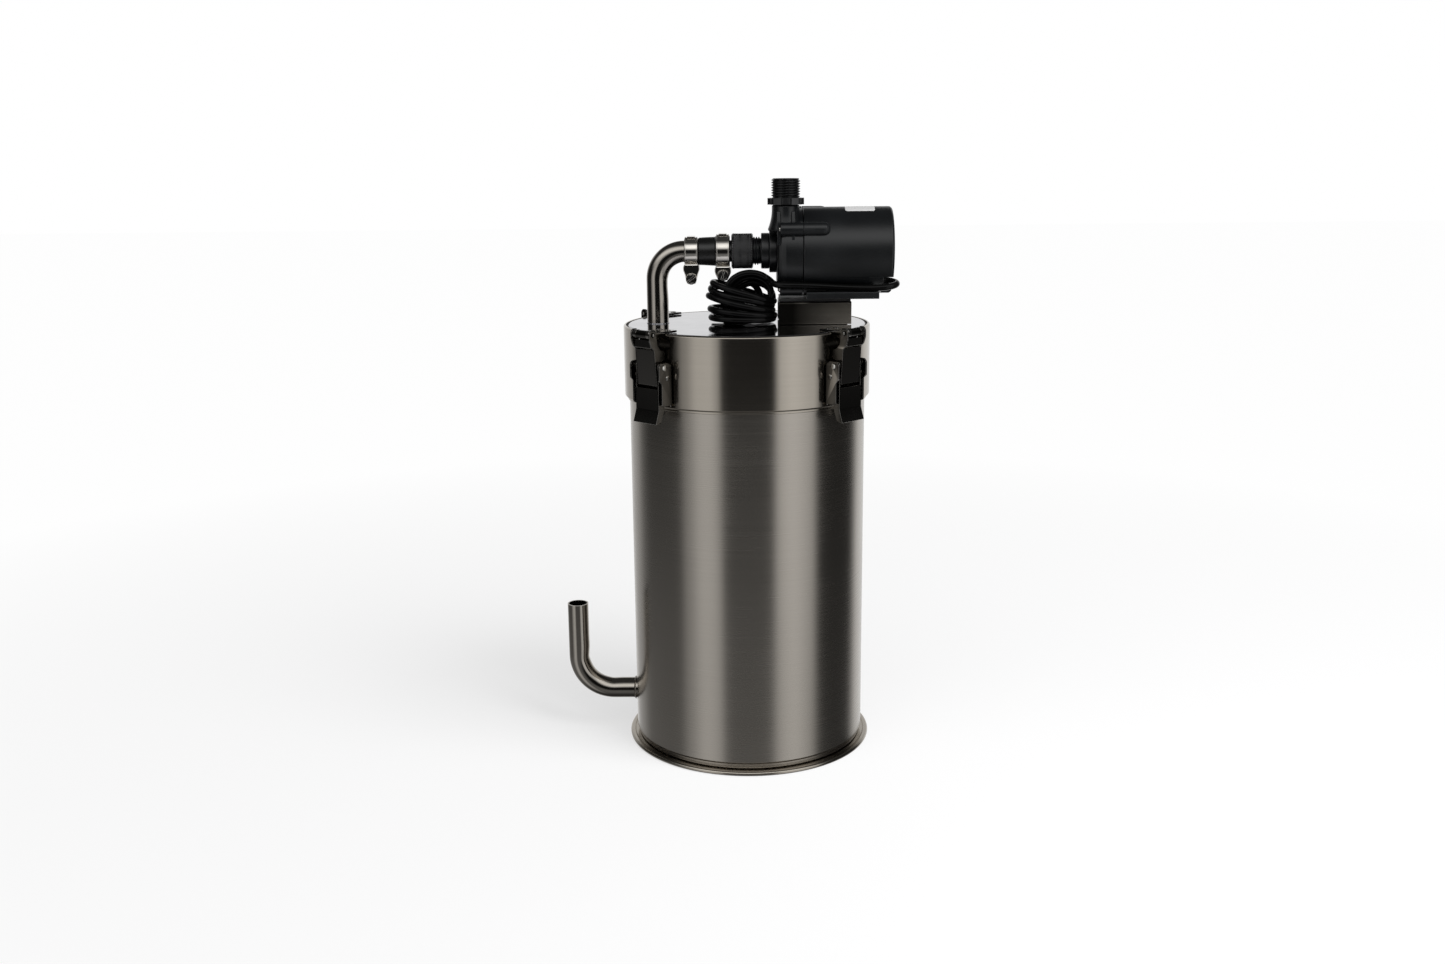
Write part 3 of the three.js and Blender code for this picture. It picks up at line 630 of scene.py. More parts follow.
# Upright loops of the coil: (angle passed, y, centre x, centre z, half width, half height).
ARCHES = [
    (25, -13.6, 3, 345.4, 17.4, 14),
    (205, -12, 3, 345.4, 17.4, 14),
    (385, -9, 3.4, 344.4, 14.6, 12.2),
    (565, -7.4, 3, 343.6, 13.8, 11.8),
    (745, -5, 6, 340, 13.6, 12),
    (925, -2.4, 4, 338.4, 13.4, 12.4),
    (1105, 0.6, -3.4, 340.6, 13.4, 12.2),
    (1285, 3.6, -2, 338.6, 13.6, 12),
    (1465, 6.2, 4.6, 341.5, 13.8, 12.4),
    (1590, 5.6, 3, 342.6, 15, 12.4),
]
# Lying turns: (angle passed, height, half width, half depth, fall to the right, lean to the front).
TURNS = [
    (190, 347.2, 22.4, 15.2, 0.24, -0.1),
    (420, 344.4, 24, 16.6, 0.3, -0.05),
    (640, 340, 21.8, 15.2, 0.18, 0.05),
    (900, 337, 24.4, 16.6, 0.22, 0.02),
    (1130, 332.6, 22.4, 15.2, 0.06, 0.04),
    (1400, 329.6, 24.2, 16.6, 0.08, 0),
    (1640, 325.8, 22.6, 15.8, 0.02, 0),
    (1818, 325.2, 23.2, 16, 0.0, 0),
]
TURNS_AT = (-3.4, -3.2)
# Where the cable has a knot: the angles passed in the arches and in the turns, and the points that join them.
ARCH_ANGLES = range(45, 1586, 20)
TURN_ANGLES = range(200, 1819, 20)
CROSSING = ((-15, 4.4, 349.6), (-21, 1.6, 351.4))
CONNECTOR = (4, 21.8, LID_Z + 5.8)
LEAD_OUT = ((17.6, 8.6, 325.3), (13.6, 16.4, 326.4), (8.4, 20.8, 327.4), CONNECTOR)


def between(rows, degrees):
    """The rows' values at an angle, eased from row to row."""
    for low, high in zip(rows, rows[1:]):
        if degrees <= high[0]:
            t = (degrees - low[0]) / (high[0] - low[0])
            t = t * t * (3 - 2 * t)
            return [a + (b - a) * t for a, b in zip(low[1:], high[1:])]
    return rows[-1][1:]


def arch_point(degrees):
    y, x, z, wide, high = between(ARCHES, degrees)
    a = math.radians(degrees)
    return Vector((x + wide * math.cos(a), y, z + high * math.sin(a)))


def turn_point(degrees):
    z, wide, deep, fall, lean = between(TURNS, degrees)
    a = math.radians(degrees)
    x = wide * math.cos(a)
    y = deep * math.sin(a)
    return Vector((TURNS_AT[0] + x, TURNS_AT[1] + y, z - fall * x - lean * y))


def cable_points():
    """Out of the pump, along the foot, over the arches, down through the lying turns, into the connector."""
    points = [Vector(p) / MM for p in CABLE_ROUTE]
    points += [arch_point(degrees) for degrees in ARCH_ANGLES]
    points += [Vector(p) for p in CROSSING]
    points += [turn_point(degrees) for degrees in TURN_ANGLES]
    points += [Vector(p) for p in LEAD_OUT]
    return points


def add_cable():
    data = bpy.data.curves.new("cable", "CURVE")
    data.dimensions = "3D"
    data.bevel_depth = CABLE_R * MM
    data.bevel_resolution = 6
    data.resolution_u = 6
    points = cable_points()
    spline = data.splines.new("BEZIER")
    spline.bezier_points.add(len(points) - 1)
    for knot, p in zip(spline.bezier_points, points):
        knot.co = p * MM
        knot.handle_left_type = knot.handle_right_type = "AUTO"
    data.materials.append(CABLE)
    cable = put("cable", data)
    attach(cable, "lid")
    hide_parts("cable_run", "cable_coil")


def add_connector():
    """The low-voltage plug on the cable's end, with its bright contact."""
    x0, y, z = CONNECTOR
    body = [
        (0, -26.5), (2.6, -26.5), (2.8, -26.1), (2.8, -17.6), (4.8, -17.6), (5.4, -16.8), (5.4, -4.6),
        (5, -3), (3.4, 0.2), (2.7, x0), (0, x0),
    ]

    def ribs(angle, r, h):
        if -16 < h < -5 and r > 5:
            return r - 0.25 * (0.5 + 0.5 * math.cos(angle * 12))
        return r

    shape = turn(body, "X", (0, y, z), facets=72, soft=0.25, ripple=ribs)
    tip = turn([(1.2, -26.7), (2.4, -26.7), (2.4, -19), (1.2, -19)], "X", (0, y, z), facets=32)
    connector = build("connector", shape, BLACK_DULL, "lid", "dc_connector")
    contact = build("connector_contact", tip, CHROME, "lid")
    return [connector, contact]


def add_gland():
    x0, x1 = GLAND_X
    _, y, z = (c / MM for c in CABLE_ROUTE[0])
    profile = [(0, x0), (4, x0), (4, x0 + 0.8), (3.4, x0 + 1.2), (3.1, x1), (2.5, x1 + 0.1), (0, x1 + 0.1)]
    shape = turn(profile, "X", (0, y, z), 40, 0.15)
    return build("cable_grommet", shape, RUBBER, "lid", "cable_gland")


# ---- tank ----
def add_tank():
    shell = [
        (85.3, 3.4), (86.6, 3.4), (86.6, 6.8), (TANK_R, 8), (TANK_R, RIM_Z), (TANK_R - WALL, RIM_Z),
        (TANK_R - WALL, 8.4), (85.3, 7.2),
    ]
    wall = turn(shell, facets=LARGE, soft=0.5)
    build("tank_wall", wall, TANK_STEEL, "tank", "tank_shell")
    plate_rim = [
        (0, 0), (BASE_R - 0.8, 0), (BASE_R, 0.8), (BASE_R, 2.3), (BASE_R - 0.8, 3.1), (90.2, 3.1),
        (89.6, 2.6), (85, 2.6), (85, 4.9), (0, 4.9),
    ]
    base = turn(plate_rim, facets=LARGE, soft=0.5)
    build("tank_base", base, COLLAR_STEEL, "tank", "base_plate")
    lip = COLLAR_R - 1.9
    band = [
        (TANK_R + GAP, COLLAR_LOW), (lip, COLLAR_LOW), (lip, COLLAR_LOW + 1.9),
        (COLLAR_R, COLLAR_LOW + 2.7), (COLLAR_R, LID_Z - 1), (COLLAR_R - 1, LID_Z), (lip, LID_Z),
        (lip, RIM_Z - 0.6), (TANK_R + GAP, RIM_Z - 0.6),
    ]
    collar = turn(band, facets=LARGE, soft=0.45)
    build("tank_collar", collar, COLLAR_STEEL, "tank", "collar")
    seal = [
        (84.2, RIM_Z + GAP), (89.3, RIM_Z + GAP), (89.3, LID_Z - 0.9), (88.5, LID_Z - 0.9),
        (88.5, LID_Z - LID_THICK - GAP), (84.2, LID_Z - LID_THICK - GAP),
    ]
    build("seal_ring", turn(seal, facets=144, soft=0.3), RUBBER, "tank", "lid_seal")


def arc_corner(start, corner, end, bend, steps=18):
    """A line, a quarter circle and a line through three points."""
    a, b, c = Vector(start), Vector(corner), Vector(end)
    u, v = (a - b).normalized(), (c - b).normalized()
    centre = b + (u + v) * bend
    path = [a + (b + u * bend - a) * i / 8 for i in range(8)]
    for i in range(steps + 1):
        t = i / steps * math.pi / 2
        path.append(centre - v * bend * math.cos(t) - u * bend * math.sin(t))
    path += [b + v * bend + (c - b - v * bend) * i / 12 for i in range(1, 13)]
    return path, (u + v).normalized()


def bent_pipe(start, corner, end, bend, marks):
    """marks are (point along the path, depth, spread): where the bender creased the inside of the bend."""
    path, inner = arc_corner(start, corner, end, bend)

    def dent(i, out):
        facing = max(0.0, out.dot(inner)) ** 2
        return sum(depth * facing * math.exp(-(((i - at) / spread) ** 2)) for at, depth, spread in marks)

    return tube(path, PIPE_R, 64, PIPE_R - PIPE_WALL, dent)


def weld_bead(r, h, out=0.85, high=1.5):
    """A ring of weld ripples of radius r about Z at height h."""
    profile = [(r - 0.9, h), (r + out, h), (r + out, h + 0.4)]
    profile += [(r + out * 0.4, h + high * 0.7), (r - 0.4, h + high)]

    def ripple(angle, rr, hh):
        return rr + (0.08 * math.cos(angle * 24) if rr > r else 0)

    return turn(profile, facets=120, soft=0.3, ripple=ripple)


def add_pipes():
    inlet = bent_pipe(
        (-TANK_R + WALL + 0.5, INLET_Y, INLET_Z),
        (INLET_X, INLET_Y, INLET_Z),
        (INLET_X, INLET_Y, INLET_TOP),
        INLET_BEND,
        [(25.5, 0.9, 1.6), (28.5, -0.35, 1.2), (8, 0.55, 1.6)],
    )
    build("inlet_elbow", inlet, PIPE_STEEL, "tank", "inlet_pipe")
    bead = turned_about(weld_bead(PIPE_R + 0.05, 88.4), -90, "Y")
    build("inlet_weld", shifted(bead, y=INLET_Y, z=INLET_Z), WELD, "tank")
    outlet = bent_pipe(
        (OUTLET_X, 0, LID_Z - LID_THICK - 4),
        (OUTLET_X, 0, AXIS_Z),
        (-33, 0, AXIS_Z),
        OUTLET_BEND,
        [(7.2, 0.9, 1.3), (5.2, -0.3, 1.0), (25, 0.4, 1.5)],
    )
    build("outlet_elbow", outlet, PIPE_STEEL, "lid", "outlet_pipe")
    seam = shifted(weld_bead(PIPE_R, LID_Z, 0.4, 0.9), x=OUTLET_X)
    build("outlet_weld", seam, LID_STEEL, "lid")


def add_lid():
    low = LID_Z - LID_THICK
    outline = [
        (0, low), (82, low), (82, low - 9), (83.6, low - 9), (83.6, low), (88.2, low),
        (88.2, LID_Z - 0.8), (87.4, LID_Z), (86.4, LID_Z), (0, LID_Z),
    ]
    disc = turn(outline, facets=LARGE, soft=0.3)
    build("lid_disc", disc, LID_STEEL, "lid", "lid_plate", sharp=25)


# ---- inside the tank ----
def grille_shape(radius, z0, z1, bars):
    """A rim with crossing bars."""
    shapes = [turn([(radius - 4, z0), (radius, z0), (radius, z1), (radius - 4, z1)], facets=MIDDLE, soft=0.4)]
    shapes.append(turn([(0, z0), (14, z0), (14, z1), (0, z1)], facets=48, soft=0.4))
    for i in range(bars):
        bar = slab(8, radius - 2, -2.4, 2.4, z0 + 0.1, z1 - 0.1, edge=0.4)
        shapes.append(turned_about(bar, 360 * i / bars, "Z"))
    return join(*shapes)


def add_support_rack():
    low, high, bottom, leg_ring = 57, 60.3, 5.3, 79
    leg = turn([(0, bottom), (4, bottom), (4, low + 1), (0, low + 1)], facets=SMALL, soft=0.6)
    legs = [turned_about(shifted(leg, x=leg_ring), degrees, "Z") for degrees in (45, 135, 225, 315)]
    rack = join(grille_shape(84.5, low, high, GRILLE_BARS), *legs)
    build("support_rack", rack, GREY, "tank", "support_grid")


def add_basket():
    low, high = BASKET_Z
    inner = BASKET_R - 1.6
    wall = turn([(inner, low), (BASKET_R, low), (BASKET_R, high), (inner, high)], facets=128, soft=0.4)
    lug = slab(-6, 6, BASKET_R - 5.6, BASKET_R - 0.8, high - 12, high + 6, edge=0.5, soft=2)
    basket = join(wall, lug, turned_about(lug, 180, "Z"))
    build("basket", basket, GREY, "tank", "media_basket")
    floor = grille_shape(BASKET_R - 1.9, low, low + 2.4, GRILLE_BARS)
    build("basket_grille", floor, GREY, "tank", "basket_floor")
    build("basket_bail", tube(bail_path(), 2, 20), BLACK, "tank", "basket_handle")


def bail_path(steps=6, passes=6):
    """The handle's arch from lug to lug, smoothed by averaging each point with its neighbours."""
    y, z = BASKET_R - 9.9, BASKET_Z[1]
    knots = [(0, -y, z - 8), (0, -y, z + 8), (0, -y + 5, z + 16), (0, -y + 15, z + 21), (0, 0, z + 22)]
    knots += [(0, -b, c) for _, b, c in reversed(knots[:-1])]
    path = []
    for a, b in zip(knots, knots[1:]):
        path += [Vector(a).lerp(Vector(b), k / steps) for k in range(steps)]
    path.append(Vector(knots[-1]))
    for _ in range(passes):
        path = [path[0]] + [(p + q + r) / 3 for p, q, r in zip(path, path[1:], path[2:])] + [path[-1]]
    return path


def add_media():
    """The discs of filter media, from the basket's floor up."""
    r = BASKET_R - 2.1
    low = BASKET_Z[0]
    for name, node, z0, z1, material, slot, lumps in (
        ("foam_disc", "coarse_sponge", low + 2.7, 110, SPONGE, "sponge", 0.25),
        ("ring_media", "bio_media", 110.3, 215, CERAMIC, "ceramic_media", 0.6),
        ("fleece_disc", "fine_sponge", 215.3, 250, FLEECE, "fleece", 0.2),
    ):
        side = [(r - 1, z0), (r, z0 + 1)]
        side += [(r, z0 + 1 + (z1 - z0 - 2) * i / MEDIA_ROWS) for i in range(1, MEDIA_ROWS)]
        side += [(r, z1 - 1), (r - 1, z1)]
        bottom = [(0, z0)] + [(q, z0) for q in range(4, int(r) - 3, 4)]
        top = [(q, z1) for q in range(int(r) - 4, 3, -4)] + [(0, z1)]

        def lump(a, q, h, size=lumps):
            return q - size * (0.5 + 0.5 * math.sin(a * 37 + h * 1.7) * math.cos(a * 23 - h * 0.9))

        disc = turn(bottom + side + top, facets=144, ripple=lump)
        build(name, disc, material, "tank", node)


# ---- latches, drawn at +X and turned to their places ----
def rivet(pin, shank, head, reach):
    """A riveted pin with a domed head at each end."""
    r, z = pin
    low = reach - 0.8
    side = [(0, reach), (head * 0.55, reach - 0.12), (head * 0.9, reach - 0.42), (head, low), (shank, low)]
    return turn(both_ends(side), "Y", (r, 0, z), facets=SMALL)


def both_ends(side):
    """The profile of one end of a pin, and its mirror image for the other end."""
    return [(a, -b) for a, b in side] + [(a, b) for a, b in reversed(side)]


def flanges(outline, outside, holes, soft):
    """A side plate at each side, with its outer face at outside from the middle."""
    near, far = outside - LATCH_GAUGE, outside
    return join(
        plate(outline, near, far, holes=holes, edge=0.22, soft=soft),
        plate(outline, -far, -near, holes=holes, edge=0.22, soft=soft),
    )


HOLE_A, HOLE_B, HOLE_C = circle(PIN_A, 1.8), circle(PIN_B, 1.5), circle(PIN_C, 1.6)


def lever_shape():
    blade = [(99.8, 284), (99.8, 268.6), (102.7, 259.4), (103.9, 259.7), (101, 268.8), (101, 284)]
    side = [
        (99.6, 259.9), (102.7, 259.4), (103.9, 259.7), (101, 268.8), (101, 285.6), (100.6, 297.2),
        (101, 300.8), (99.8, 302.2), (97, 302.4), (95.4, 300.8), (93.6, 294.4), (93.4, 291.4),
        (94.4, 289), (96.6, 286.8), (95.6, 280), (95.6, 269), (98.6, 261),
    ]
    return join(
        plate(blade, 0.05 - LEVER_HALF, LEVER_HALF - 0.05, edge=0.3, soft=0.35),
        flanges(side, LEVER_HALF, [HOLE_A, HOLE_B], soft=0.9),
    )


def arm_shape():
    front = [(99.5, 286.4), (100.6, 286.4), (102.4, 311.6), (101.3, 311.6)]
    side = [
        (95.4, 289.4), (97.8, 288), (99.5, 286.4), (100.6, 286.4), (102.4, 311.6), (104.8, 313.8),
        (106.5, 318.4), (106.5, 323.8), (104.8, 325.9), (101.6, 325.9), (100, 323.8), (99.3, 315),
        (96.4, 311.4), (92.8, 310.2), (92.8, 304), (96, 303.2), (99.6, 302.6), (100.2, 300.6),
        (99.9, 296.4), (96.8, 295.2), (94.4, 294.6), (93.2, 292.3), (93.8, 290.2),
    ]
    return join(
        plate(front, 0.05 - ARM_HALF, ARM_HALF - 0.05, edge=0.3, soft=0.3),
        flanges(side, ARM_HALF, [HOLE_B, HOLE_C], soft=1.0),
    )


def base_shape():
    foot = [(91.8, 272), (93, 272), (93, 301), (91.8, 301)]
    ear = [
        (91.6, 272.4), (99.8, 272.4), (100.7, 273.4), (100.7, 288.4), (103.2, 290.6), (103.2, 300.4),
        (101.6, 302.6), (95, 302.8), (91.6, 300.8),
    ]
    head = [(0, 15.2), (1.9, 15.2), (1.9, 15.5), (1.5, 15.9), (0.9, 16.15), (0, 16.2)]
    r, z = EAR_RIVET
    return join(
        plate(foot, 0.1 - EAR_HALF, EAR_HALF - 0.1, edge=0.25),
        flanges(ear, EAR_HALF, [HOLE_A], soft=0.8),
        turn(head, "Y", (r, 0, z), SMALL),
        turned_about(turn(head, "Y", (-r, 0, z), SMALL), 180, "Z"),
    )


def roller_shape():
    side = [(0, 11.3), (0.8, 11.25), (1.3, 10.9), (1.3, 8.4), (2.8, 8.4), (3.1, 8.1), (3.1, 5.2), (2.9, 5.0)]
    return turn(both_ends(side), "Y", (PIN_C[0], 0, PIN_C[1]), facets=36)


def strike_shape():
    z = LID_Z + GAP
    outline = [
        (79, z), (98.3, z), (98.3, 317), (103.2, 317), (103.2, 312.9), (104.4, 312.9), (104.4, 318.5),
        (99.8, 318.5), (99.8, 322.8), (99, z + 1.5), (79, z + 1.5),
    ]
    spot = [(0, z + 1.4), (2.2, z + 1.4), (2.2, z + 1.75), (1.5, z + 2.0), (0, z + 2.1)]
    spots = [turn(spot, "Z", (84, y, 0), 24) for y in (-4, 4)]
    return join(plate(outline, -8.2, 8.2, edge=0.25, soft=0.5), *spots)


def add_latches():
    parts = (
        ("base", base_shape(), NICKEL, "tank", "latch_base"),
        ("pivot", rivet(PIN_A, 1.5, 2.2, 16.5), RIVET, "tank", "latch_pivot_pin"),
        ("lever", lever_shape(), NICKEL, "lever_", "latch_lever"),
        ("link", rivet(PIN_B, 1.2, 1.9, 13), RIVET, "lever_", "latch_link_pin"),
        ("arm", arm_shape(), NICKEL, "arm_", "latch_arm"),
        ("roller", roller_shape(), NICKEL, "arm_", "latch_roller"),
        ("strike", strike_shape(), NICKEL, "lid", "latch_strike"),
    )
    for place, degrees in PLACES.items():
        for part, shape, material, body, node in parts:
            rides = body + place if body.endswith("_") else body
            shape_here = turned_about(shape, degrees, "Z")
            build(f"{part}_{place}", shape_here, material, rides, f"{node}_{place}")


# ---- pump ----
def boss_places():
    for turned in (0, 90, 180, 270):
        a = math.radians(BOSS_ANGLE + turned)
        yield -BOSS_RING * math.cos(a), AXIS_Z + BOSS_RING * math.sin(a)


def front_cover_shape():
    x0, x1 = VOLUTE_X
    body = [
        (7, -5), (9.2, -5), (9.2, 11), (12.6, 11), (13, 11.4), (13, 16.6), (12.4, 17), (15.4, 17),
        (15.8, 17.4), (15.8, x0 - 0.3), (15.2, x0), (26.5, x0), (28.6, x0 + 1.2), (29.8, x0 + 3.4),
        (30.6, x0 + 6.5), (30.6, x1), (21, x1), (21, x0 + 2.6), (7, x0 + 2.6),
    ]
    shapes = [turn_on_axis(body, 128, soft=0.35)]
    neck = helix_thread(-5, 10.8, 9.15, 10.3, 8.9, facets=64)
    shapes.append(shifted(turned_about(neck, 90, "Y"), z=AXIS_Z))
    for y, z in boss_places():
        post = [(2.9, x0 + 2), (4.6, x0 + 2), (BOSS_R, x0 + 2.6), (BOSS_R, x1), (2.9, x1)]
        shapes.append(turn(post, "X", (0, y, z), 40, soft=0.3))
    riser = [(7.4, 388), (13.2, 390), (11.4, 395), (10.3, 400), (10, 404), (10, 408), (7.4, 408)]
    shapes.append(turn(riser, "Z", (*RISER, 0), 72, soft=1.5))
    # Two ribs stiffen the riser against the volute.
    for side in (-1, 1):
        x = RISER[0] + side * 5.2
        rib = [(-29.4, 380), (-17, 380), (-17, 404), (-26.6, 404), (-28.6, 396)]
        shapes.append(plate_yz(rib, x - 1.1, x + 1.1, edge=0.3, soft=1))
    return join(*shapes)


def cover_screws_shape():
    shapes = []
    x = VOLUTE_X[0] + 2.2
    for y, z in boss_places():
        head = [(0, x - 1.5), (1.6, x - 1.4), (2.5, x - 0.9), (2.7, x), (0, x)]
        shapes.append(turn(head, "X", (0, y, z), 28))
        shapes.append(shifted(slab(x - 1.75, x - 0.9, -0.35, 0.35, -1.7, 1.7, edge=0.08), y=y, z=z))
    return join(*shapes)


def outlet_shape():
    z, start = OUTLET_Z
    thread = helix_thread(start - 0.4, RISER_TOP, 9.3, 10.45, 7)
    sleeve = turn([(7, z), (9.6, z), (9.6, start), (7, start)], facets=48)
    low, high = z + 0.4, start - 0.3
    collar = [(7.5, z), (11.6, z), (12, low), (12, high - 0.4), (11.6, high), (7.5, high)]
    shapes = [thread, sleeve, turn(collar, facets=64)]
    for i in range(6):
        lug = slab(10.6, 13.1, -3.1, 3.1, z + 0.1, start - 0.4, edge=0.35)
        shapes.append(turned_about(lug, 60 * i, "Z"))
    return shifted(join(*shapes), x=RISER[0], y=RISER[1])


def housing_shape():
    x0, x1 = MOTOR_X
    body = [
        (10.4, x0), (PUMP_R - 0.4, x0), (PUMP_R, x0 + 0.4), (PUMP_R, x1 - 1.5), (PUMP_R - 1.2, x1),
        (PUMP_R - 3.2, x1), (PUMP_R - 3.6, x1 - 8), (0, x1 - 8),
    ]
    shapes = [turn_on_axis(list(reversed(body)), 160, soft=0.6)]
    for y, z in boss_places():
        nose = [(0, x0), (BOSS_R, x0), (BOSS_R, 55.4), (4.9, 57.6), (3.7, 59.4), (2, 60.3), (0, 60.5)]
        shapes.append(turn(nose, "X", (0, y, z), 48, soft=0.3))
    return join(*shapes)


def cut_cable_notch(piece):
    """The cable leaves the potted end through a notch in the rim."""
    x1 = MOTOR_X[1]
    notch = slab(x1 - 7.8, x1 + 3, -29, -8, 330, 356.4, edge=0.4)
    cutter = build("notch_cutter", notch, BLACK, "lid")
    piece.modifiers.clear()
    cut = piece.modifiers.new("notch", "BOOLEAN")
    cut.operation = "DIFFERENCE"
    cut.object = cutter
    graph = bpy.context.evaluated_depsgraph_get()
    mesh = bpy.data.meshes.new_from_object(piece.evaluated_get(graph))
    piece.modifiers.clear()
    piece.data = mesh
    shade_by_area(piece)
    bpy.data.objects.remove(cutter)


def add_pump():
    housing = build("motor_housing", housing_shape(), BLACK, "lid", "pump_housing")
    cut_cable_notch(housing)
    build("volute_cover", front_cover_shape(), BLACK, "lid", "pump_front_cover")
    build("cover_screws", cover_screws_shape(), RIVET, "lid")
    build("outlet_spigot", outlet_shape(), BLACK_DULL, "lid", "outlet_fitting")
    low, high = FOOT_Z
    foot = slab(43.6, 95.8, -30, 30, low, high, edge=0.4)
    ribs = [slab(46, 94, y - 1, y + 1, high - 1, high + 2.2, edge=0.3, soft=1) for y in (-14.8, 14.8)]
    build("pump_base", join(foot, *ribs), BLACK, "lid", "pump_foot")
    add_bracket()
    shaft = [(0, 25.4), (1.7, 25.4), (2, 25.8), (2, 77.6), (1.7, 78), (0, 78)]
    build("rotor_shaft", turn_on_axis(shaft, 32), CHROME, "lid")
    add_rotor()
    add_blank_label()


def add_bracket():
    """The channel that carries the pump, and the rubber pad on it."""
    w, t = BRACKET_Y, 1.5
    low, high = LID_Z + GAP, BRACKET_TOP
    outline = [
        (-w, low), (-w + t, low), (-w + t, high - t - 1), (-w + t + 1, high - t),
        (w - t - 1, high - t), (w - t, high - t - 1), (w - t, low), (w, low), (w, high), (-w, high),
    ]
    bracket = plate_yz(outline, *BRACKET_X, edge=0.3, soft=1.6)
    build("bracket", bracket, BRACKET_STEEL, "lid", "pump_bracket")
    pad = slab(24.2, 76, -19, 19, high + GAP, FOOT_Z[0] - GAP, edge=0.5)
    build("pad", pad, RUBBER, "lid", "rubber_pad")


def add_rotor():
    hub = [(2.15, 27.4), (5, 27.4), (8, 36), (20, 37.4), (20, 39), (10, 39), (9.6, 42), (9.6, 76), (2.15, 76)]
    shapes = [turn_on_axis(hub, 72, soft=0.4)]
    for i in range(6):
        vane = slab(29.6, 38, 4.6, 19, -0.75, 0.75, edge=0.25)
        shapes.append(shifted(turned_about(vane, 60 * i, "X"), z=AXIS_Z))
    build("rotor", join(*shapes), GREY, "impeller", "impeller_rotor")


def add_blank_label():
    """A plain sticker, with nothing on it, bent over the top of the motor."""
    x0, x1 = 72, 93.5
    middle, half, rows, corner = 82, 17, 20, 1.2
    verts, faces = [], []
    for i in range(rows + 1):
        a = math.radians(middle - half + 2 * half * i / rows)
        inset = corner * max(0, abs(2 * i / rows - 1) - 0.85) / 0.15
        for r in (PUMP_R + 0.02, PUMP_R + 0.12):
            for x in (x0 + inset, x1 - inset):
                verts.append((x, -r * math.cos(a), AXIS_Z + r * math.sin(a)))
    for i in range(rows):
        b, n = 4 * i, 4 * (i + 1)
        faces += [(b + 2, b + 3, n + 3, n + 2), (b, n, n + 1, b + 1)]
        faces += [(b, b + 2, n + 2, n), (b + 1, n + 1, n + 3, b + 3)]
    faces += [(0, 1, 3, 2), (4 * rows, 4 * rows + 2, 4 * rows + 3, 4 * rows + 1)]
    build("plain_label", (verts, faces), LABEL, "lid")


# ---- hose, nut and clamps ----
def knurl(angle, r, h):
    """Two sets of crossing grooves in the nut's grip, which fade out at its ends."""
    if r < NUT_R:
        return r
    around = angle / (2 * math.pi) * KNURL_COUNT
    along = (h - NUT_X[0]) / KNURL_PITCH
    a = abs(2 * ((around + along) % 1) - 1)
    b = abs(2 * ((around - along) % 1) - 1)
    edge = min(1, (h - NUT_X[0] - NUT_MARGIN) / 0.8, (NUT_X[1] - NUT_MARGIN - h) / 0.8)
    return r - KNURL_DEPTH * max(0, edge) * (1 - min(a, b))


def add_nut():
    x0, x1 = NUT_X
    grip = x1 - x0 - 2 * NUT_MARGIN
    nut = [(8.6, x0), (11.8, x0), (12.4, x0 + 0.3)]
    nut += [(NUT_R, x0 + NUT_MARGIN + grip * i / KNURL_ROWS) for i in range(KNURL_ROWS + 1)]
    nut += [(12.4, x1 - 0.3), (11.8, x1), (10.8, x1), (10.8, -8), (8.6, -8)]
    shape = turn_on_axis(nut, KNURL_FACETS, ripple=knurl)
    build("knurled_nut", shape, NUT, "union_nut", "union_nut", sharp=70)


def add_tail():
    """The hose tail: three barbs and a collar that the nut holds."""
    tail = [(6, -30), (7.3, -30), (7.9, -27), (7.3, -24), (7.9, -21), (7.3, -18), (7.9, -15)]
    tail += [(7.9, -7.7), (9.9, -7.7), (9.9, -5.3), (6, -5.3)]
    shape = turn_on_axis(tail, 64, soft=0.2)
    build("barbed_tail", shape, BLACK_DULL, "lid", "hose_tail")


def add_hose():
    """The rubber sleeve from the pipe to the tail, pressed in a little under each clamp."""
    a, b = HOSE_X
    sleeve = [(8.3, a), (9.1, a), (9.4, a + 0.5), (9.4, -35.2), (10, -34.6), (10.6, -23)]
    sleeve += [(11.2, -22.4), (11.2, b - 0.4), (10.9, b), (8.3, b)]

    def pinched(angle, r, h):
        press = sum(math.exp(-(((h - x) / 4.6) ** 4)) for _, x, _, _ in CLAMPS)
        return r - 0.12 * press - 0.05 * math.sin(angle * 3 + h * 0.4) if r > 8.5 else r

    fine = []
    for (r0, h0), (r1, h1) in zip(sleeve, sleeve[1:]):
        count = max(1, int(abs(h1 - h0) / 0.8))
        fine += [(r0 + (r1 - r0) * i / count, h0 + (h1 - h0) * i / count) for i in range(count)]
    fine.append(sleeve[-1])
    shape = turn_on_axis(fine, MIDDLE, ripple=pinched)
    build("hose", shape, HOSE, "lid", "hose_sleeve")


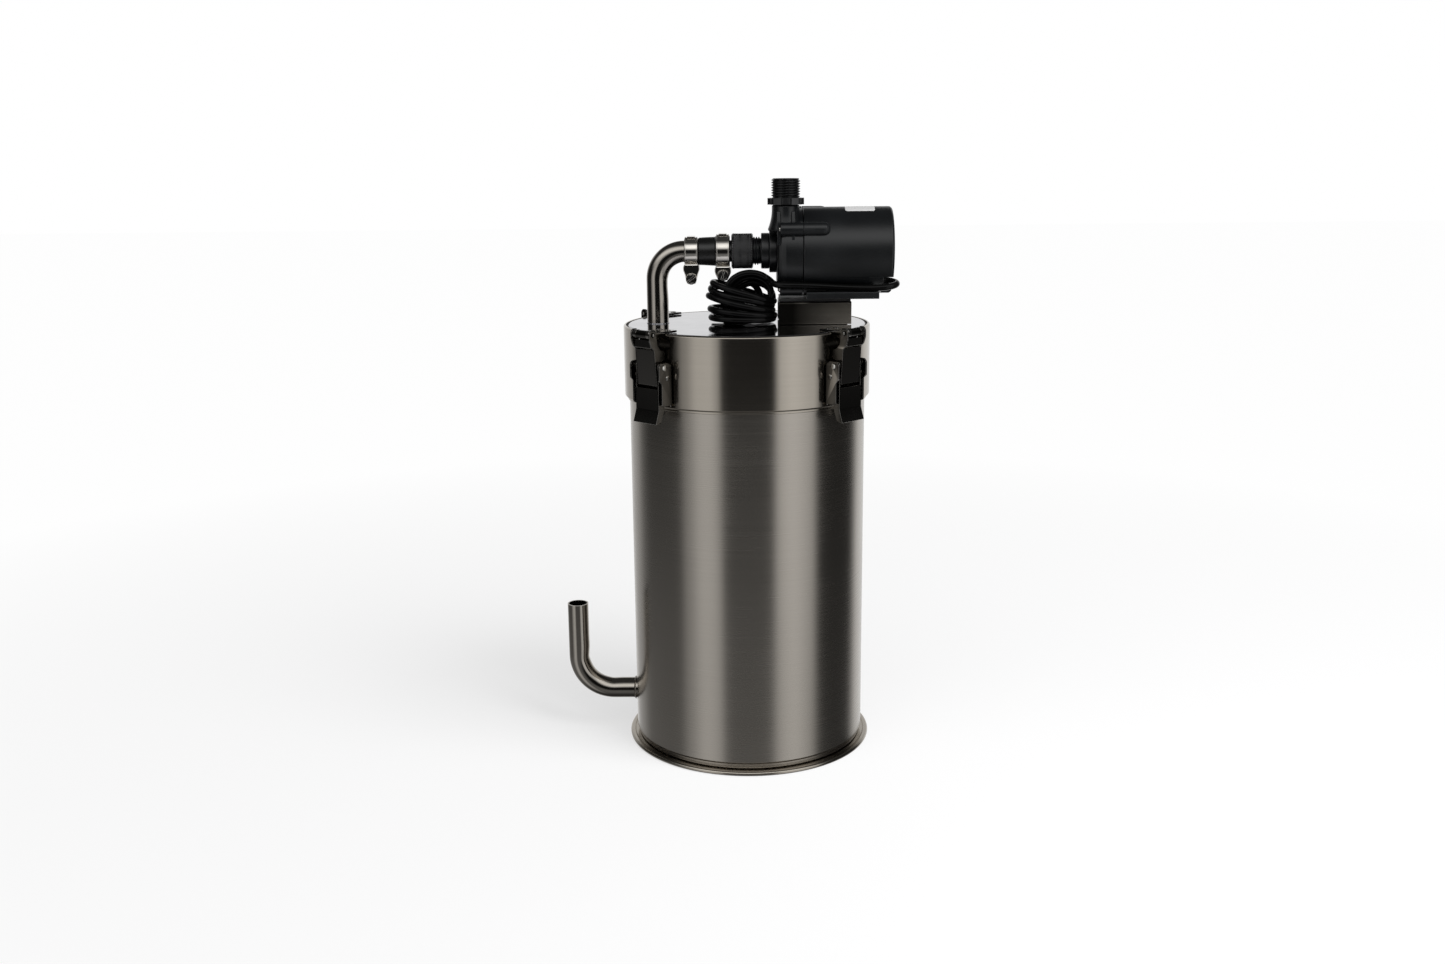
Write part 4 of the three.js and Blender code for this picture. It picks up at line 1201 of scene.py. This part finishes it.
def add_clamp(side, x, r, screw_z):
    half = CLAMP_WIDE / 2
    band = [(r, -half), (r + 0.35, -half), (r + 0.7, -half + 0.5)]
    band += [(r + 0.7, half - 0.5), (r + 0.35, half), (r, half)]
    shapes = [turn(band, "X", (x, 0, AXIS_Z), MIDDLE, soft=0.15)]
    # The rolled edges of the band.
    for edge in (-half + 0.7, half - 0.7):
        rim = [(r + 0.5, edge - 0.5), (r + 0.95, edge - 0.35), (r + 0.95, edge + 0.35), (r + 0.5, edge + 0.5)]
        shapes.append(turn(rim, "X", (x, 0, AXIS_Z), MIDDLE, soft=0.2))
    top = AXIS_Z - r - 0.3
    wide = CLAMP_HOUSING / 2
    # The worm's housing: a cup below the band that narrows to the screw's width.
    half_cup = [(wide - 1.2, top + 1), (wide, top - 0.6), (wide, top - 3.4), (wide - 0.9, top - 5.4)]
    half_cup.append((3.2, screw_z - 3.9))
    cup = half_cup + [(-a, b) for a, b in reversed(half_cup)]
    bore = circle((0, screw_z), 2.9)
    shapes.append(shifted(plate(cup, -6.4, 6.4, holes=[bore], edge=0.7, soft=1.3), x=x))
    lug = slab(-3, 3, -4, 5, r + 0.6, r + 1.5, edge=0.3, soft=0.3)
    shapes.append(shifted(lug, x=x, z=AXIS_Z))
    build(f"clamp_{side}", join(*shapes), CHROME, "lid", f"clamp_band_{side}")
    add_clamp_screw(side, x, screw_z)


def add_clamp_screw(side, x, screw_z):
    """A worm screw with a slotted, notched head at the front."""

    def notches(angle, r, h):
        return r - (0.22 * (0.5 + 0.5 * math.cos(angle * 18)) if r > 3.8 and h < -7 else 0)

    head = [(0, -9.9), (3.2, -9.9), (3.2, -11), (3.5, -11)]
    head += [(4.1, -10.4), (4.1, -7.2), (3.8, -6.9), (2.4, -6.9)]
    root, crest, pitch = 2.15, 2.6, 0.44
    worm = [(root if i % 4 < 2 else crest, -6.6 + i * pitch) for i in range(36)]
    profile = head + worm + [(2, 9.6), (0, 9.6)]
    shapes = [turn(profile, "Y", (x, 0, screw_z), 72, ripple=notches)]
    # The head's face is two halves with the driver slot between them.
    face_r, slot_half = 3.3, 0.55
    angles = [math.radians(a) for a in range(-80, 81, 8)]
    arc = [(face_r * math.cos(a), face_r * math.sin(a)) for a in angles]
    part = plate([(p, q) for p, q in arc if p > slot_half], -11, -9.8, edge=0.15)
    for half_turn in (180, 0):
        shapes.append(shifted(turned_about(part, half_turn + SLOT_TILT[side], "Y"), x=x, z=screw_z))
    build(f"worm_{side}", join(*shapes), CHROME, f"clamp_screw_{side}", f"clamp_screw_{side}")


# ---- the scene ----
bpy.context.scene.view_settings.view_transform = "Standard"
add_camera()
connector_pieces = add_connector()
grommet = add_gland()
add_cable()
add_world()
add_key_lamp()
add_floor()
add_tank()
add_pipes()
add_lid()
add_support_rack()
add_basket()
add_media()
add_latches()
add_pump()
add_nut()
add_tail()
add_hose()
for clamp in CLAMPS:
    add_clamp(*clamp)
